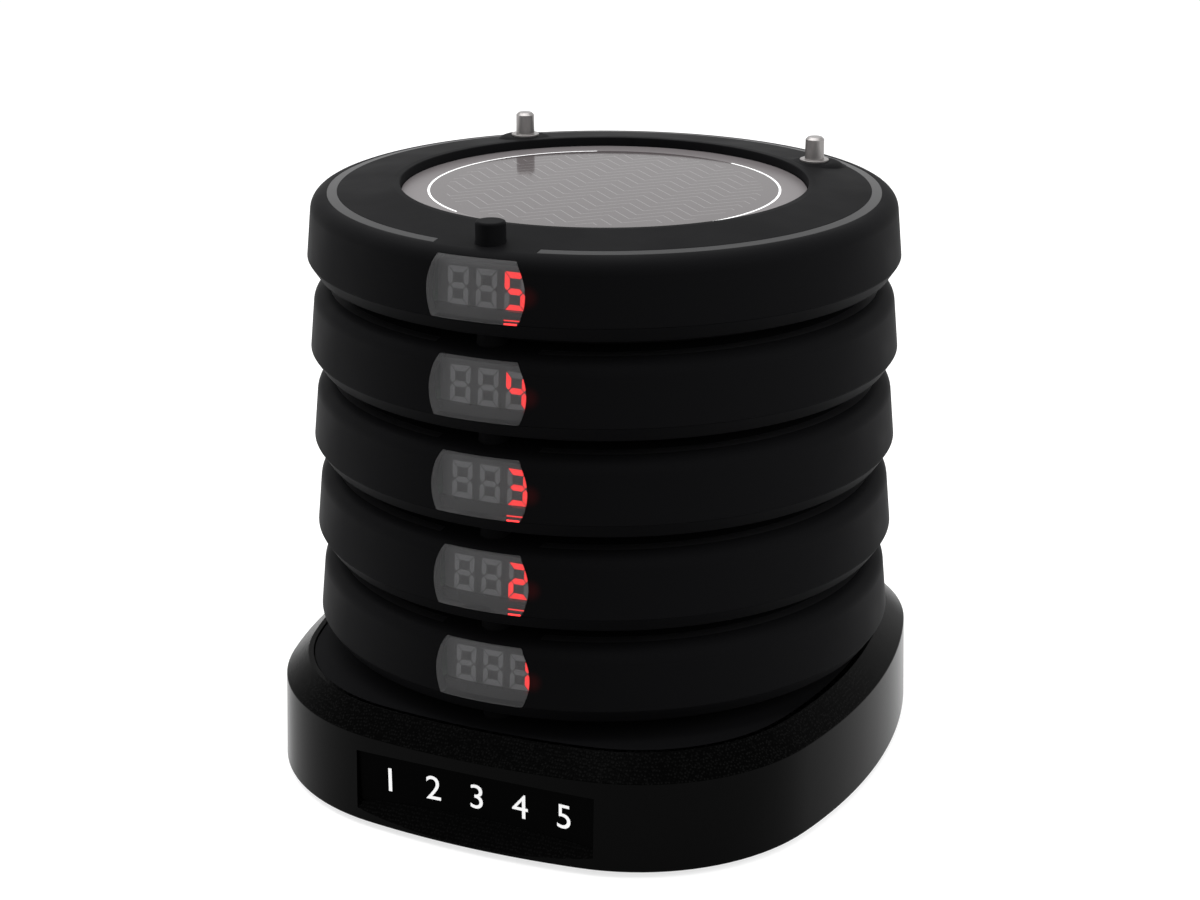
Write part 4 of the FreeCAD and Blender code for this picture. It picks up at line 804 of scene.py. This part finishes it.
dress(housing, wall_abs, 35)
housing.materials.append(knurled_abs)
for face in housing.polygons:
    if face.center.z > (WALL_TOP - 0.05) * MM or face.normal.z > 0.3:
        face.material_index = 1
piece("base_shell", housing, "base", ["base_housing"])

# Base top cover
# Smooth matte plate inside the rim. Its middle rises to a round seat like the top of a pager, with the same
# bosses and peg.

cover_profile = [(0, COVER_SEAT - 1), (95, COVER_SEAT - 1), (95, COVER_TOP), (52.4, COVER_TOP),
                 (LAND_RADIUS, SEAT), (0, SEAT)]
cover_blank = solid(lambda mesh: lathe(mesh, cover_profile, segments=360))
outline = [(spot.x, spot.y, COVER_SEAT) for spot in base_outline(SLOPE + RIM_WIDTH + 0.15)]
top_cover = combine(cover_blank, solid(lambda mesh: prism(mesh, outline, (0, 0, 6))), "INTERSECT")
top_cover = add_bosses(top_cover, COVER_SEAT + 0.8, SEAT)
dress(top_cover, abs_black)
piece("base_seat_plate", top_cover, "base", ["base_top_cover"])
seat_drop = SEAT - RIM
piece("base_peg", peg, "base", height=seat_drop)
base_posts = post_mesh(12.55, False)
piece("base_pins", base_posts, "base", ["base_contact_posts"], seat_drop)

# Marking plate
# Smooth black acrylic, hollow across its face, glued into the recess. Plain white numbers are printed on it.

plate_acrylic, shader = new_material("black_acrylic", {
    "Base Color": linear("#030303"), "IOR": 1.49, "Specular IOR Level": 0.01})
haze = add_node(plate_acrylic, "ShaderNodeTexNoise", {"Scale": 1 / (6 * MM)})
polish = add_node(plate_acrylic, "ShaderNodeMapRange", {
    "Value": haze.outputs[0], "To Min": 0.25, "To Max": 0.36})
link(plate_acrylic, polish.outputs[0], shader, "Roughness")
# The printed numbers carry a painted glow: a little white emission that makes the ink brighter than the lamps
# light it
white_ink_painted_glow = new_material("white_screen_ink", {
    "Base Color": linear("#f4f4f4"), "Roughness": 0.6, "Emission Color": linear("#ffffff"),
    "Emission Strength": 0.6})[0]


def plate_face(x):
    """How far in front of the middle the plate's face stands at x."""
    return PLATE_FACE - HOLLOW * (1 - (x / PLATE_HALF) ** 2)


def marking_plate(mesh):
    """The plate, a narrow gap smaller than its recess all round."""
    gap = 0.15
    steps = 24
    columns = []
    for step in range(steps + 1):
        x = (PLATE_HALF - gap) * (2 * step / steps - 1)
        column = []
        for out, upper in ((plate_face(x), 0), (plate_face(x), 1),
                           (PLATE_BACK + 0.1, 1), (PLATE_BACK + 0.1, 0)):
            inward = PLATE_CORNER - out
            height = PLATE_HIGH - gap - UPPER_SLOPE * inward if upper else PLATE_LOW + gap + inward
            column.append(mesh.verts.new(Vector((x, -out, height)) * MM))
        columns.append(column)
    for first, second in zip(columns, columns[1:]):
        for corner in range(4):
            after = (corner + 1) % 4
            mesh.faces.new([first[corner], first[after], second[after], second[corner]])
    mesh.faces.new(columns[0])
    mesh.faces.new(list(reversed(columns[-1])))


piece("base_plate", dress(solid(marking_plate), plate_acrylic), "base", ["base_marking_plate"])

figures = bpy.data.curves.new("figures", "FONT")
figures.body = "1 2 3 4 5"
figures.size = 6.6
figures.space_character = 1.5
figures.align_x = "CENTER"
figures.align_y = "CENTER"
figures_object = bpy.data.objects.new("figures", figures)
bpy.context.scene.collection.objects.link(figures_object)
bpy.context.view_layer.update()
numbers = bpy.data.meshes.new_from_object(figures_object)
bpy.data.objects.remove(figures_object)
NUMBERS_HEIGHT = 9.0
for vertex in numbers.vertices:
    x, up = vertex.co.x, vertex.co.y
    vertex.co = Vector((x, -plate_face(x) - 0.04, NUMBERS_HEIGHT + up)) * MM
dress(numbers, white_ink_painted_glow)
piece("base_plate_numbers", numbers, "base")

# Parts inside and underneath
# Boards with green solder mask, a wrapped battery, zinc-plated screws, rubber feet and the power inlet.

solder_mask, shader = new_material("green_solder_mask", {"Roughness": 0.35})
tracks = add_node(solder_mask, "ShaderNodeTexBrick", {
    "Scale": 1 / (12 * MM), "Color1": linear("#14452a"), "Color2": linear("#18502f"),
    "Mortar": linear("#2c6b3f"), "Mortar Size": 0.02})
link(solder_mask, tracks.outputs["Color"], shader, "Base Color")
shrink_wrap, shader = new_material("blue_shrink_wrap", {"Base Color": linear("#27426e"), "Roughness": 0.3})
folds = add_node(shrink_wrap, "ShaderNodeTexNoise", {"Scale": 1 / (5 * MM)})
relief = add_node(shrink_wrap, "ShaderNodeBump", {
    "Strength": 0.2, "Distance": 0.2 * MM, "Height": folds.outputs[0]})
link(shrink_wrap, relief.outputs[0], shader, "Normal")
zinc, shader = new_material("zinc_plated_steel", {"Base Color": linear("#a9abae"), "Metallic": 1.0})
cloud = add_node(zinc, "ShaderNodeTexNoise", {"Scale": 1 / (0.6 * MM)})
polish = add_node(zinc, "ShaderNodeMapRange", {"Value": cloud.outputs[0], "To Min": 0.28, "To Max": 0.42})
link(zinc, polish.outputs[0], shader, "Roughness")
rubber, shader = new_material("black_rubber", {"Base Color": linear("#1b1b1b"), "Roughness": 0.8})
pores = add_node(rubber, "ShaderNodeTexNoise", {"Scale": 1 / (0.5 * MM)})
relief = add_node(rubber, "ShaderNodeBump", {
    "Strength": 0.3, "Distance": 0.05 * MM, "Height": pores.outputs[0]})
link(rubber, relief.outputs[0], shader, "Normal")

inside_materials = {"circuit_board": solder_mask, "battery": shrink_wrap, "screws": zinc,
                    "rubber_feet": rubber, "bottom_cover": abs_black, "power_inlet": wall_abs,
                    "inlet_pin": nickel}
for node_name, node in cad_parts.items():
    for ending, material in inside_materials.items():
        if node_name.endswith(ending):
            node.data.materials.clear()
            node.data.materials.append(material)
